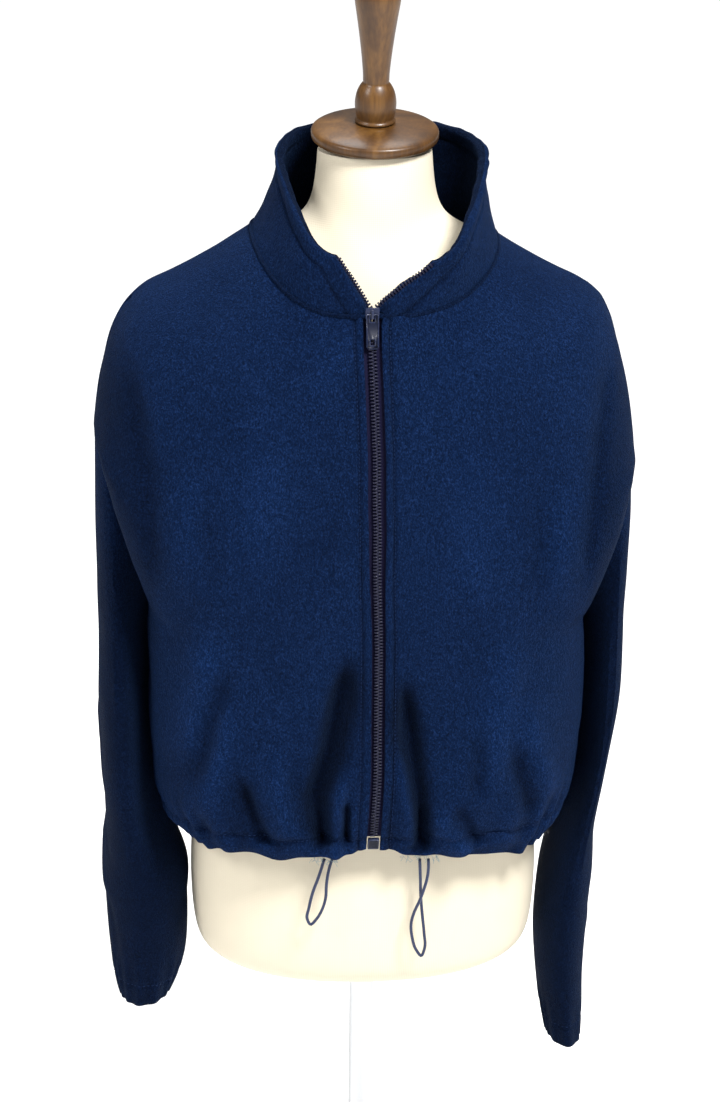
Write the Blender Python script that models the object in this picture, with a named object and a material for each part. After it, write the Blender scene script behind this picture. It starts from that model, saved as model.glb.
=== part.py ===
"""Navy fleece zip jacket worn by a limbless dress form on a pole stand.

World frame: metres, +Z up, the jacket's zip faces -Y, origin on the floor at the middle of the base.
Heights in the tables are measured from the underside of the dress form, FORM_BOTTOM above the floor.
"""

import math
from collections import namedtuple

import bpy
import numpy as np
from mathutils import Vector

# Stand and dress form
FORM_BOTTOM = 0.36
BASE_RADIUS = 0.150
BASE_HEIGHT = 0.016
POLE_RADIUS = 0.011
CAP_RADIUS = 0.0535
CAP_TILT = math.radians(8.5)
CAP_MIDDLE = (0.004, 0.001, 0.7342)

# Jacket
FLEECE = 0.0030
COLLAR_THICKNESS = 0.0080
SEAM_GAP = 0.0003
ZIP_OPENING = 0.0160
CHAIN_WIDTH = 0.0075
CHAIN_THICKNESS = 0.0022
TAPE_THICKNESS = 0.0009
TAPE_HALF_WIDTH = 0.0150
TAPE_GAP = 0.0005
CORD_DIAMETER = 0.0027
BOTTOM_BOX_WIDTH = 0.0096
SLIDER_RISE = 0.0030
TAB_LENGTH = 0.0280
TAB_THICKNESS = 0.0012
TAB_LEAN = math.radians(4.0)

# Mesh fineness
YOKE_STEPS = 9
ARMHOLE_STEPS = 9
LOWER_STEPS = 10
SLEEVE_ROWS = 20
COLLAR_ROWS = 6
FRONT_SHARES = [0.0, 0.045, 0.10, 0.16, 0.23, 0.31, 0.39, 0.47, 0.55, 0.63, 0.71, 0.80, 0.90, 1.0]
BACK_SHARES = [0.1, 0.2, 0.3, 0.4, 0.5, 0.6, 0.7, 0.8, 0.9, 1.0]

LEFT = -1
RIGHT = 1
FIRST_RING = 6
LAST_RING = 10
LAST_LEVEL = 15

# One row per level of the body, from the neck seam down to the hem.
Centre = namedtuple("Centre", "zip_x front_z front_depth back_z back_depth power")
BODY_CENTRE = [
    Centre(-0.004, 0.602, 0.104, 0.653, 0.070, 2.5),
    Centre(-0.004, 0.580, 0.110, 0.616, 0.084, 2.5),
    Centre(-0.003, 0.556, 0.116, 0.582, 0.096, 2.6),
    Centre(-0.002, 0.531, 0.1205, 0.552, 0.105, 2.7),
    Centre(-0.001, 0.505, 0.1235, 0.523, 0.110, 2.8),
    Centre(0.000, 0.479, 0.125, 0.494, 0.114, 3.0),
    Centre(0.000, 0.452, 0.126, 0.462, 0.116, 3.2),
    Centre(0.001, 0.422, 0.1265, 0.428, 0.117, 3.6),
    Centre(0.001, 0.390, 0.127, 0.394, 0.118, 4.0),
    Centre(0.002, 0.356, 0.127, 0.359, 0.119, 4.0),
    Centre(0.003, 0.320, 0.127, 0.322, 0.120, 3.8),
    Centre(0.003, 0.284, 0.127, 0.285, 0.120, 3.4),
    Centre(0.003, 0.246, 0.128, 0.245, 0.122, 3.2),
    Centre(0.003, 0.208, 0.131, 0.202, 0.125, 3.1),
    Centre(0.001, 0.168, 0.134, 0.152, 0.127, 3.0),
    Centre(0.000, 0.135, 0.125, 0.100, 0.114, 2.8),
]

# The outer end of each level: shoulder line, then armhole (left out), then side seam.
Edge = namedtuple("Edge", "level left_x left_z right_x right_z")
BODY_EDGE = [
    Edge(0, 0.100, 0.652, 0.108, 0.645),
    Edge(1, 0.135, 0.631, 0.137, 0.6275),
    Edge(2, 0.168, 0.6135, 0.168, 0.612),
    Edge(3, 0.197, 0.6000, 0.193, 0.600),
    Edge(4, 0.2145, 0.574, 0.208, 0.573),
    Edge(5, 0.2275, 0.530, 0.220, 0.525),
    Edge(6, 0.234, 0.484, 0.229, 0.462),
    Edge(10, 0.189, 0.336, 0.187, 0.326),
    Edge(11, 0.191, 0.302, 0.190, 0.294),
    Edge(12, 0.191, 0.262, 0.191, 0.256),
    Edge(13, 0.190, 0.215, 0.190, 0.210),
    Edge(14, 0.187, 0.160, 0.184, 0.156),
    Edge(15, 0.1630, 0.114, 0.1610, 0.107),
]

# One row per ring of a sleeve, from the armhole down to the cuff.
Ring = namedtuple("Ring", "outer_x outer_z inner_x inner_z front back power")
SLEEVE_LEFT = [
    Ring(0.234, 0.484, 0.189, 0.336, 0.052, 0.090, 2.0),
    Ring(0.2345, 0.434, 0.1950, 0.306, 0.058, 0.092, 2.1),
    Ring(0.2345, 0.380, 0.1960, 0.276, 0.062, 0.093, 2.2),
    Ring(0.2345, 0.322, 0.1965, 0.242, 0.063, 0.092, 2.3),
    Ring(0.234, 0.262, 0.1965, 0.204, 0.063, 0.088, 2.3),
    Ring(0.2335, 0.202, 0.1960, 0.162, 0.062, 0.083, 2.3),
    Ring(0.233, 0.142, 0.1915, 0.118, 0.060, 0.077, 2.2),
    Ring(0.233, 0.082, 0.1625, 0.066, 0.057, 0.070, 2.2),
    Ring(0.2325, 0.030, 0.1605, 0.020, 0.053, 0.063, 2.1),
    Ring(0.2295, -0.016, 0.1640, -0.018, 0.048, 0.056, 2.1),
    Ring(0.2220, -0.057, 0.1770, -0.055, 0.043, 0.048, 2.1),
]
SLEEVE_RIGHT = [
    Ring(0.229, 0.462, 0.187, 0.326, 0.052, 0.090, 2.0),
    Ring(0.2295, 0.414, 0.1940, 0.296, 0.058, 0.092, 2.1),
    Ring(0.2275, 0.360, 0.1955, 0.264, 0.062, 0.093, 2.2),
    Ring(0.2265, 0.300, 0.1960, 0.230, 0.063, 0.092, 2.3),
    Ring(0.2240, 0.238, 0.1955, 0.190, 0.063, 0.088, 2.3),
    Ring(0.2140, 0.172, 0.1900, 0.144, 0.062, 0.083, 2.3),
    Ring(0.2085, 0.110, 0.1745, 0.090, 0.060, 0.077, 2.2),
    Ring(0.2065, 0.050, 0.1610, 0.038, 0.057, 0.070, 2.2),
    Ring(0.2045, -0.008, 0.1580, -0.014, 0.053, 0.063, 2.1),
    Ring(0.2035, -0.060, 0.1620, -0.062, 0.048, 0.056, 2.1),
    Ring(0.2035, -0.108, 0.1710, -0.107, 0.043, 0.048, 2.1),
]

# One row per station of the collar, from its left front end round the neck to the right front end.
# seam is the share of the way along the panel's neck seam, top_* is the collar's free edge.
Station = namedtuple("Station", "panel seam top_x top_y top_z bulge")
COLLAR = [
    Station("front_left", 0.00, -0.040, -0.1045, 0.648, 0.001),
    Station("front_left", 0.35, -0.057, -0.090, 0.666, 0.003),
    Station("front_left", 0.66, -0.070, -0.052, 0.690, -0.002),
    Station("front_left", 1.00, -0.0785, 0.000, 0.712, -0.006),
    Station("back", 0.22, -0.062, 0.046, 0.725, -0.001),
    Station("back", 0.50, 0.006, 0.072, 0.730, 0.002),
    Station("back", 0.78, 0.078, 0.046, 0.725, -0.001),
    Station("front_right", 1.00, 0.0975, 0.000, 0.716, -0.004),
    Station("front_right", 0.66, 0.089, -0.053, 0.698, -0.001),
    Station("front_right", 0.35, 0.071, -0.094, 0.665, 0.002),
    Station("front_right", 0.00, 0.050, -0.1075, 0.641, 0.001),
]

# One row per section of the dress form, from its underside to its neck.
Section = namedtuple("Section", "z half_width front back middle_x power")
FORM = [
    Section(-0.0160, 0.1110, 0.073, 0.073, 0.000, 2.2),
    Section(-0.0135, 0.1300, 0.087, 0.087, 0.000, 2.2),
    Section(-0.0060, 0.1445, 0.097, 0.097, 0.000, 2.2),
    Section(0.0080, 0.1530, 0.104, 0.104, 0.000, 2.2),
    Section(0.0400, 0.1565, 0.107, 0.107, 0.000, 2.2),
    Section(0.0900, 0.1560, 0.107, 0.106, 0.000, 2.2),
    Section(0.1500, 0.1500, 0.100, 0.100, 0.000, 2.2),
    Section(0.2300, 0.1400, 0.092, 0.094, 0.000, 2.2),
    Section(0.3100, 0.1440, 0.098, 0.097, 0.000, 2.2),
    Section(0.3900, 0.1550, 0.108, 0.102, 0.000, 2.2),
    Section(0.4500, 0.1620, 0.108, 0.104, 0.000, 2.3),
    Section(0.5050, 0.1650, 0.103, 0.100, 0.000, 2.3),
    Section(0.5500, 0.1650, 0.094, 0.092, 0.000, 2.3),
    Section(0.5868, 0.1610, 0.081, 0.082, 0.000, 2.2),
    Section(0.6098, 0.1500, 0.070, 0.074, 0.000, 2.2),
    Section(0.6262, 0.1330, 0.061, 0.066, 0.000, 2.1),
    Section(0.6389, 0.1098, 0.054, 0.059, 0.001, 2.0),
    Section(0.6499, 0.0866, 0.050, 0.053, 0.002, 2.0),
    Section(0.6590, 0.0665, 0.048, 0.049, 0.003, 2.0),
    Section(0.6700, 0.0555, 0.047, 0.047, 0.004, 2.0),
    Section(0.6860, 0.0510, 0.046, 0.046, 0.004, 2.0),
    Section(0.7030, 0.0490, 0.045, 0.045, 0.004, 2.0),
    Section(0.7185, 0.0480, 0.044, 0.044, 0.004, 2.0),
]

# Largest folds of the fronts: a soft ridge (height > 0) or trough along points (x, height).
Fold = namedtuple("Fold", "height width route")
FRONT_FOLDS = [
    Fold(0.0055, 0.012, [(-0.128, 0.370), (-0.141, 0.322), (-0.157, 0.262), (-0.171, 0.214)]),
    Fold(0.0060, 0.012, [(-0.127, 0.296), (-0.131, 0.250), (-0.147, 0.193), (-0.159, 0.160)]),
    Fold(-0.0060, 0.011, [(-0.024, 0.338), (-0.034, 0.285), (-0.046, 0.232), (-0.052, 0.200)]),
    Fold(-0.0050, 0.010, [(-0.052, 0.200), (-0.046, 0.172), (-0.040, 0.150)]),
    Fold(0.0045, 0.008, [(-0.031, 0.210), (-0.030, 0.168), (-0.029, 0.140)]),
    Fold(-0.0050, 0.013, [(-0.114, 0.215), (-0.102, 0.180), (-0.093, 0.150)]),
    Fold(0.0040, 0.014, [(-0.078, 0.250), (-0.076, 0.200), (-0.070, 0.160)]),
    Fold(-0.0065, 0.009, [(0.034, 0.270), (0.043, 0.205), (0.049, 0.170), (0.049, 0.145)]),
    Fold(0.0050, 0.010, [(0.024, 0.238), (0.030, 0.200), (0.037, 0.160)]),
    Fold(0.0055, 0.014, [(0.064, 0.215), (0.072, 0.185), (0.076, 0.158)]),
    Fold(0.0050, 0.015, [(0.110, 0.365), (0.115, 0.312), (0.110, 0.250), (0.107, 0.181)]),
    Fold(-0.0040, 0.010, [(0.097, 0.243), (0.094, 0.215), (0.093, 0.180)]),
    Fold(0.0040, 0.013, [(0.140, 0.260), (0.146, 0.215), (0.143, 0.170)]),
    Fold(0.0040, 0.013, [(-0.150, 0.520), (-0.155, 0.450), (-0.152, 0.390)]),
]
BACK_FOLDS = [
    Fold(0.0050, 0.014, [(-0.120, 0.360), (-0.128, 0.270), (-0.138, 0.160)]),
    Fold(-0.0050, 0.013, [(-0.090, 0.300), (-0.084, 0.210), (-0.078, 0.130)]),
    Fold(0.0050, 0.014, [(-0.040, 0.260), (-0.036, 0.190), (-0.038, 0.120)]),
    Fold(-0.0050, 0.013, [(0.006, 0.280), (0.010, 0.200), (0.006, 0.125)]),
    Fold(0.0055, 0.014, [(0.052, 0.300), (0.054, 0.210), (0.050, 0.125)]),
    Fold(-0.0045, 0.013, [(0.096, 0.270), (0.100, 0.190), (0.094, 0.130)]),
    Fold(0.0050, 0.014, [(0.132, 0.350), (0.136, 0.250), (0.140, 0.160)]),
]
SLEEVE_FOLDS = [
    Fold(-0.0030, 0.012, [(-0.060, 0.330), (0.000, 0.290), (0.050, 0.300)]),
    Fold(0.0030, 0.012, [(-0.060, 0.250), (0.000, 0.225), (0.060, 0.205)]),
    Fold(-0.0030, 0.010, [(-0.055, 0.130), (0.000, 0.110), (0.050, 0.125)]),
    Fold(0.0030, 0.010, [(-0.040, 0.060), (0.010, 0.045), (0.045, 0.055)]),
]

# Free loops of the hem drawcord, each through its own route points (x, y, z).
CORD_LEFT = [
    (-0.0415, -0.1190, 0.1245), (-0.0460, -0.1185, 0.1080), (-0.0515, -0.1180, 0.0910),
    (-0.0545, -0.1175, 0.0770), (-0.0560, -0.1172, 0.0665), (-0.0530, -0.1172, 0.0610),
    (-0.0480, -0.1174, 0.0660), (-0.0430, -0.1178, 0.0755), (-0.0400, -0.1182, 0.0870),
    (-0.0395, -0.1186, 0.0990), (-0.0380, -0.1188, 0.1110), (-0.0345, -0.1190, 0.1245),
]
CORD_RIGHT = [
    (0.0410, -0.1190, 0.1225), (0.0420, -0.1185, 0.1030), (0.0425, -0.1172, 0.0890),
    (0.0440, -0.1172, 0.0710), (0.0462, -0.1174, 0.0500), (0.0470, -0.1175, 0.0370),
    (0.0440, -0.1178, 0.0285), (0.0390, -0.1182, 0.0355), (0.0355, -0.1188, 0.0480),
    (0.0345, -0.1195, 0.0610), (0.0370, -0.1205, 0.0725), (0.0415, -0.1212, 0.0840),
    (0.0445, -0.1210, 0.0930), (0.0478, -0.1198, 0.1050), (0.0485, -0.1190, 0.1225),
]


def clear_scene():
    for existing in list(bpy.data.objects):
        bpy.data.objects.remove(existing, do_unlink=True)


def material(name, colour, roughness, metallic=0.0):
    made = bpy.data.materials.new(name)
    made.use_nodes = True
    shader = made.node_tree.nodes["Principled BSDF"]
    shader.inputs["Base Color"].default_value = (*colour, 1.0)
    shader.inputs["Roughness"].default_value = roughness
    shader.inputs["Metallic"].default_value = metallic
    return made


def smooth_curve(knots, values, at):
    """Monotone cubic through (knots, values), read at the given places."""
    knots = np.asarray(knots, float)
    values = np.asarray(values, float)
    at = np.clip(np.asarray(at, float), knots[0], knots[-1])
    step = np.diff(knots)
    slope = np.diff(values) / step
    bend = np.zeros(len(knots))
    bend[0] = slope[0]
    bend[-1] = slope[-1]
    for index in range(1, len(knots) - 1):
        before = slope[index - 1]
        after = slope[index]
        if before * after > 0:
            bend[index] = 2.0 * before * after / (before + after)
    place = np.clip(np.searchsorted(knots, at, side="right") - 1, 0, len(step) - 1)
    share = (at - knots[place]) / step[place]
    h00 = 2 * share**3 - 3 * share**2 + 1
    h10 = share**3 - 2 * share**2 + share
    h01 = -2 * share**3 + 3 * share**2
    h11 = share**3 - share**2
    start = h00 * values[place] + h10 * step[place] * bend[place]
    return start + h01 * values[place + 1] + h11 * step[place] * bend[place + 1]


def body_levels():
    """Levels of the panels' rows; the armhole's own rows fall on the sleeve's columns."""
    upper = np.linspace(0.0, FIRST_RING, YOKE_STEPS + 1)
    middle = np.linspace(FIRST_RING, LAST_RING, ARMHOLE_STEPS + 1)
    lower = np.linspace(LAST_RING, LAST_LEVEL, LOWER_STEPS + 1)
    return np.concatenate([upper[:-1], middle[:-1], lower])


def column(rows, name):
    return [getattr(row, name) for row in rows]


def centre_at(level, name):
    return smooth_curve(range(len(BODY_CENTRE)), column(BODY_CENTRE, name), level)


def signed_power(value, power):
    return np.sign(value) * np.abs(value) ** power


def sleeve_rows(side):
    return SLEEVE_LEFT if side == LEFT else SLEEVE_RIGHT


def sleeve_point(side, ring, angle):
    """Point on a sleeve; angle 0 is its outer line, 90 degrees its front, 180 degrees its inner line."""
    rows = sleeve_rows(side)
    read = {}
    for name in Ring._fields:
        read[name] = float(smooth_curve(range(len(rows)), column(rows, name), ring))
    across = signed_power(math.cos(angle), 2.0 / read["power"])
    forward = signed_power(math.sin(angle), 2.0 / read["power"])
    middle_x = (read["outer_x"] + read["inner_x"]) / 2
    middle_z = (read["outer_z"] + read["inner_z"]) / 2
    half_x = (read["outer_x"] - read["inner_x"]) / 2
    half_z = (read["outer_z"] - read["inner_z"]) / 2
    depth = read["front"] if forward > 0 else read["back"]
    return np.array([
        side * (middle_x + half_x * across),
        -depth * forward,
        middle_z + half_z * across,
    ])


def edge_point(side, level, facing):
    """Outer end of a body level on one side; facing -1 is the front panel, +1 the back panel."""
    if FIRST_RING < level < LAST_RING:
        share = (level - FIRST_RING) / (LAST_RING - FIRST_RING)
        return sleeve_point(side, 0.0, -facing * math.pi * share)
    word = "left" if side == LEFT else "right"
    levels = column(BODY_EDGE, "level")
    upper = [row for row in BODY_EDGE if row.level <= FIRST_RING]
    lower = [row for row in BODY_EDGE if row.level >= LAST_RING]
    rows = upper if level <= FIRST_RING else lower
    levels = column(rows, "level")
    x = float(smooth_curve(levels, column(rows, word + "_x"), level))
    z = float(smooth_curve(levels, column(rows, word + "_z"), level))
    return np.array([side * x, 0.0, z])


def armhole_normal(side, share, facing):
    """Mean outward direction at an armhole seam; share 0 is its top and 1 its underarm point."""
    angle = math.pi * share
    if share <= 0.5:
        turned = (side * math.cos(angle), facing * math.sin(angle), 0.25 * math.cos(angle))
    else:
        turned = (0.0, facing * math.sin(angle), math.cos(angle))
    return np.array(turned) / np.linalg.norm(turned)


def edge_normal(side, level, facing):
    """Outward direction shared by the two walls that meet at a panel's outer end."""
    if FIRST_RING <= level <= LAST_RING:
        return armhole_normal(side, (level - FIRST_RING) / (LAST_RING - FIRST_RING), facing)
    step = 0.05 if level < FIRST_RING else -0.05
    first = edge_point(side, level, facing)
    second = edge_point(side, level + step, facing)
    along = (second - first) * np.sign(step)
    turned = np.array([-along[2] * side, 0.0, along[0] * side])
    return turned / np.linalg.norm(turned)


def body_point(side, level, share, facing, inset):
    """Point on a body level; share 0 is its middle line and share 1 its outer end."""
    edge = edge_point(side, level, facing)
    word = "front" if facing < 0 else "back"
    depth = facing * float(centre_at(level, word + "_depth"))
    height = float(centre_at(level, word + "_z"))
    start = side * inset
    if facing < 0:
        start += float(centre_at(level, "zip_x"))
    turn = share * math.pi / 2
    power = float(centre_at(level, "power"))
    sine = math.sin(turn)
    cosine = max(math.cos(turn), 0.0)
    reach = (sine**power + cosine**power) ** (-1.0 / power)
    across = reach * sine
    along = reach * cosine
    return np.array([
        start + (edge[0] - start) * across,
        edge[1] + (depth - edge[1]) * along,
        height + (edge[2] - height) * (0.5 * across**3 + 0.5 * sine**3),
    ])


def grid_normals(grid, closed=False):
    if closed:
        across = np.roll(grid, -1, axis=1) - np.roll(grid, 1, axis=1)
    else:
        across = np.gradient(grid, axis=1)
    down = np.gradient(grid, axis=0)
    normals = np.cross(across, down)
    return normals / np.maximum(np.linalg.norm(normals, axis=2, keepdims=True), 1e-12)


def distance_to_route(x, z, route):
    """Distance from (x, z) to a polyline and the share of its length at the nearest point."""
    route = np.asarray(route, float)
    lengths = np.linalg.norm(np.diff(route, axis=0), axis=1)
    total = lengths.sum()
    best = (1e9, 0.0)
    walked = 0.0
    for index, length in enumerate(lengths):
        start = route[index]
        step = (route[index + 1] - start) / length
        along = min(max((x - start[0]) * step[0] + (z - start[1]) * step[1], 0.0), length)
        gap = math.hypot(x - start[0] - step[0] * along, z - start[1] - step[1] * along)
        if gap < best[0]:
            best = (gap, (walked + along) / total)
        walked += length
    return best


def fold_height(x, z, folds):
    height = 0.0
    for fold in folds:
        gap, share = distance_to_route(x, z, fold.route)
        fade = math.sin(math.pi * (0.12 + 0.76 * share))
        height += fold.height * fade * math.exp(-((gap / fold.width) ** 2))
    return height


def window(share, start, end):
    value = min(max((share - start) / (end - start), 0.0), 1.0)
    return value * value * (3 - 2 * value)


def add_mesh(name, points, faces, finish, smooth=False):
    mesh = bpy.data.meshes.new(name)
    mesh.from_pydata([tuple(point) for point in points], [], faces)
    mesh.validate()
    made = bpy.data.objects.new(name, mesh)
    bpy.context.scene.collection.objects.link(made)
    mesh.materials.append(finish)
    if smooth:
        for face in mesh.polygons:
            face.use_smooth = True
    volume = 0.0
    for face in mesh.polygons:
        corners = [mesh.vertices[index].co for index in face.vertices]
        for index in range(1, len(corners) - 1):
            volume += corners[0].dot(corners[index].cross(corners[index + 1]))
    if volume < 0:
        mesh.flip_normals()
    return made


def lift(points):
    raised = np.array(points, float)
    raised[..., 2] += FORM_BOTTOM
    return raised


def add_wall(name, outer, inner, finish, closed=False, smooth=True):
    """Closed wall between two grids of the same size; closed joins the last column to the first."""
    rows, columns = outer.shape[:2]
    points = np.concatenate([outer.reshape(-1, 3), inner.reshape(-1, 3)])
    below = rows * columns
    faces = []
    last = columns if closed else columns - 1
    for row in range(rows - 1):
        for place in range(last):
            after = (place + 1) % columns
            a = row * columns + place
            b = row * columns + after
            c = b + columns
            d = a + columns
            faces.append((a, b, c, d))
            faces.append((below + d, below + c, below + b, below + a))
    for place in range(last):
        after = (place + 1) % columns
        end = (rows - 1) * columns
        faces.append((after, place, below + place, below + after))
        faces.append((end + place, end + after, below + end + after, below + end + place))
    if not closed:
        for row in range(rows - 1):
            a = row * columns
            d = a + columns
            faces.append((a, d, below + d, below + a))
            b = a + columns - 1
            c = d + columns - 1
            faces.append((c, b, below + b, below + c))
    return add_mesh(name, lift(points), faces, finish, smooth)


def add_block(name, rows, finish, smooth=False, lifted=True):
    """Solid through rows of four or more corners each, closed by its first and last row."""
    rows = np.asarray(rows, float)
    count = rows.shape[1]
    faces = [tuple(range(count))[::-1]]
    for row in range(len(rows) - 1):
        for place in range(count):
            after = (place + 1) % count
            a = row * count + place
            b = row * count + after
            faces.append((a, b, b + count, a + count))
    start = (len(rows) - 1) * count
    faces.append(tuple(range(start, start + count)))
    points = rows.reshape(-1, 3)
    return add_mesh(name, lift(points) if lifted else points, faces, finish, smooth)


def spin_solid(name, profile, middle, finish, segments=48, tilt=0.0):
    """Turned solid from (radius, height) pairs about a vertical axis, tilted forward if asked."""
    points = []
    for radius, height in profile:
        for step in range(segments):
            angle = 2 * math.pi * step / segments
            x = radius * math.cos(angle)
            y = radius * math.sin(angle)
            turned_y = y * math.cos(tilt) - height * math.sin(tilt)
            turned_z = y * math.sin(tilt) + height * math.cos(tilt)
            points.append((middle[0] + x, middle[1] + turned_y, middle[2] + turned_z))
    rows = np.array(points).reshape(len(profile), segments, 3)
    made = add_block(name, rows, finish)
    for face in made.data.polygons:
        face.use_smooth = len(face.vertices) == 4
    return made


def hem_share(level):
    """0 at the neck seam, 1 down the body, a quarter left at the hem edge."""
    return window(level, 0.5, 3.0) * (1.0 - 0.75 * window(level, 14.3, 15.0))


def hem_scallop(level, x):
    """Uneven drop of the gathered hem edge between the zip and the sides."""
    wave = 0.5 + 0.5 * math.sin(x * 95.0 + 0.7) * math.sin(x * 41.0 + 1.9)
    reach = window(abs(x), 0.020, 0.040) * (1.0 - window(abs(x), 0.120, 0.155))
    reach *= 1.0 - 0.8 * window(-x, 0.085, 0.110)
    return -(0.005 + 0.004 * wave) * reach * window(level, 12.5, 15.0)


def unit(vector):
    return vector / np.linalg.norm(vector)


def outward_normals(grid, row, place, direction, closed=False):
    """Normals of a grid, signed so that the one at (row, place) agrees with the direction."""
    normals = grid_normals(grid, closed)
    return normals * np.sign(np.dot(normals[row, place], np.asarray(direction, float)))


def raise_folds(grid, normals, amounts):
    return grid + normals * amounts[..., None]


def front_grids(side):
    levels = body_levels()
    outer = np.zeros((len(levels), len(FRONT_SHARES), 3))
    amounts = np.zeros(outer.shape[:2])
    for row, level in enumerate(levels):
        for place, share in enumerate(FRONT_SHARES):
            point = body_point(side, level, share, -1, ZIP_OPENING / 2)
            aside = abs(point[0] - outer[row, 0, 0]) if place else 0.0
            ends = window(aside, 0.012, 0.024) * (1.0 - window(share, 0.86, 0.98))
            amounts[row, place] = fold_height(point[0], point[2], FRONT_FOLDS) * ends * hem_share(level)
            point[2] += hem_scallop(level, point[0]) * ends
            outer[row, place] = point
    middle = len(levels) // 2
    outer = raise_folds(outer, outward_normals(outer, middle, 2, (0, -1, 0)), amounts)
    for row in range(len(levels)):
        outer[row, -1] += unit(outer[row, -2] - outer[row, -1]) * SEAM_GAP / 2
    normals = outward_normals(outer, middle, 2, (0, -1, 0))
    for row, level in enumerate(levels):
        normals[row, -1] = edge_normal(side, level, -1)
        normals[row, 0] = zip_slope(level)[1]
        normals[row, 1] = unit(normals[row, 1] + zip_slope(level)[1])
    return outer, outer - normals * FLEECE


def back_grids():
    levels = body_levels()
    shares = [-share for share in BACK_SHARES[::-1]] + [0.0] + BACK_SHARES
    outer = np.zeros((len(levels), len(shares), 3))
    amounts = np.zeros(outer.shape[:2])
    for row, level in enumerate(levels):
        for place, share in enumerate(shares):
            side = LEFT if share < 0 else RIGHT
            point = body_point(side, level, abs(share), 1, 0.0)
            ends = 1.0 - window(abs(share), 0.86, 0.98)
            amounts[row, place] = fold_height(point[0], point[2], BACK_FOLDS) * ends * hem_share(level)
            outer[row, place] = point
    middle = (len(levels) // 2, len(shares) // 2)
    outer = raise_folds(outer, outward_normals(outer, *middle, (0, 1, 0)), amounts)
    for row in range(len(levels)):
        outer[row, 0] += unit(outer[row, 1] - outer[row, 0]) * SEAM_GAP / 2
        outer[row, -1] += unit(outer[row, -2] - outer[row, -1]) * SEAM_GAP / 2
    normals = outward_normals(outer, *middle, (0, 1, 0))
    for row, level in enumerate(levels):
        normals[row, 0] = edge_normal(LEFT, level, 1)
        normals[row, -1] = edge_normal(RIGHT, level, 1)
    return outer, outer - normals * FLEECE


def sleeve_grids(side):
    last = len(sleeve_rows(side)) - 1
    rings = np.linspace(0.0, last, SLEEVE_ROWS)
    angles = np.arange(2 * ARMHOLE_STEPS) * math.pi / ARMHOLE_STEPS
    outer = np.zeros((SLEEVE_ROWS, len(angles), 3))
    amounts = np.zeros(outer.shape[:2])
    for row, ring in enumerate(rings):
        ends = window(ring, 0.5, 2.0) * (1.0 - window(ring, last - 1.2, last - 0.2))
        for place, angle in enumerate(angles):
            point = sleeve_point(side, ring, angle)
            outward = window(math.cos(angle), -0.3, 0.1)
            amounts[row, place] = fold_height(point[1], point[2], SLEEVE_FOLDS) * ends * outward
            outer[row, place] = point
    for place in range(len(angles)):
        outer[0, place] += unit(outer[1, place] - outer[0, place]) * SEAM_GAP * 3
    middle = (SLEEVE_ROWS // 2, 0)
    outer = raise_folds(outer, outward_normals(outer, *middle, (side, 0, 0), True), amounts)
    normals = outward_normals(outer, *middle, (side, 0, 0), True)
    for place, angle in enumerate(angles):
        facing = -1 if angle <= math.pi else 1
        share = (angle if angle <= math.pi else 2 * math.pi - angle) / math.pi
        normals[0, place] = armhole_normal(side, share, facing)
    return outer, outer - normals * FLEECE


def seam_place(panel, share):
    """Place along the neck seam: 0 to 1 on the left front, 1 to 3 on the back, 3 to 4 on the right."""
    if panel == "front_left":
        return share
    if panel == "back":
        return 1 + 2 * share
    return 4 - share


def seam_point(place):
    if place <= 1:
        return body_point(LEFT, 0.0, place, -1, ZIP_OPENING / 2)
    if place >= 3:
        return body_point(RIGHT, 0.0, 4 - place, -1, ZIP_OPENING / 2)
    side = LEFT if place < 2 else RIGHT
    return body_point(side, 0.0, abs(place - 2), 1, 0.0)


def collar_grids():
    """Outer and inner grid of the collar, rows from the neck seam to the free edge."""
    knots = [seam_place(station.panel, station.seam) for station in COLLAR]
    back = [2 - share for share in BACK_SHARES[::-1]][1:] + [2.0] + [2 + share for share in BACK_SHARES[:-1]]
    places = FRONT_SHARES + back + [4 - share for share in FRONT_SHARES[::-1]]
    seam = np.array([seam_point(place) for place in places])
    names = ("top_x", "top_y", "top_z")
    top = np.stack([smooth_curve(knots, column(COLLAR, name), places) for name in names], axis=1)
    bulge = smooth_curve(knots, column(COLLAR, "bulge"), places)
    outer = np.zeros((COLLAR_ROWS, len(places), 3))
    inner = np.zeros_like(outer)
    centre = np.array([0.004, -0.005])
    for place in range(len(places)):
        rise = unit(top[place] - seam[place])
        before = max(place - 1, 0)
        after = min(place + 1, len(places) - 1)
        out = unit(np.cross((seam[after] - seam[before]) + (top[after] - top[before]), rise))
        away = (seam[place][:2] + top[place][:2]) / 2 - centre
        out = out * np.sign(np.dot(out[:2], away))
        flat_out = unit(out * (1.0, 1.0, 0.0))
        start = seam[place] + np.array([0.0, 0.0, SEAM_GAP])
        for row, share in enumerate(np.linspace(0.0, 1.0, COLLAR_ROWS)):
            swell = bulge[place] * math.sin(math.pi * share) ** 0.8
            thick = COLLAR_THICKNESS * (0.70 + 0.45 * math.sin(math.pi * min(share + 0.15, 1.0)))
            lean = min(share / 0.4, 1.0)
            outer[row, place] = start + (top[place] - start) * share + out * swell
            inner[row, place] = outer[row, place] - unit(flat_out * (1 - lean) + out * lean) * thick
    return outer, inner


def zip_slope(level):
    """Direction down the zip and the direction out of its face, both in the Y-Z plane."""
    before = max(level - 0.2, 0.0)
    after = min(level + 0.2, 15.0)
    run = -float(centre_at(after, "front_depth") - centre_at(before, "front_depth"))
    fall = float(centre_at(after, "front_z") - centre_at(before, "front_z"))
    down = unit(np.array([0.0, run, fall]))
    return down, np.array([0.0, down[2], -down[1]])


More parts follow.
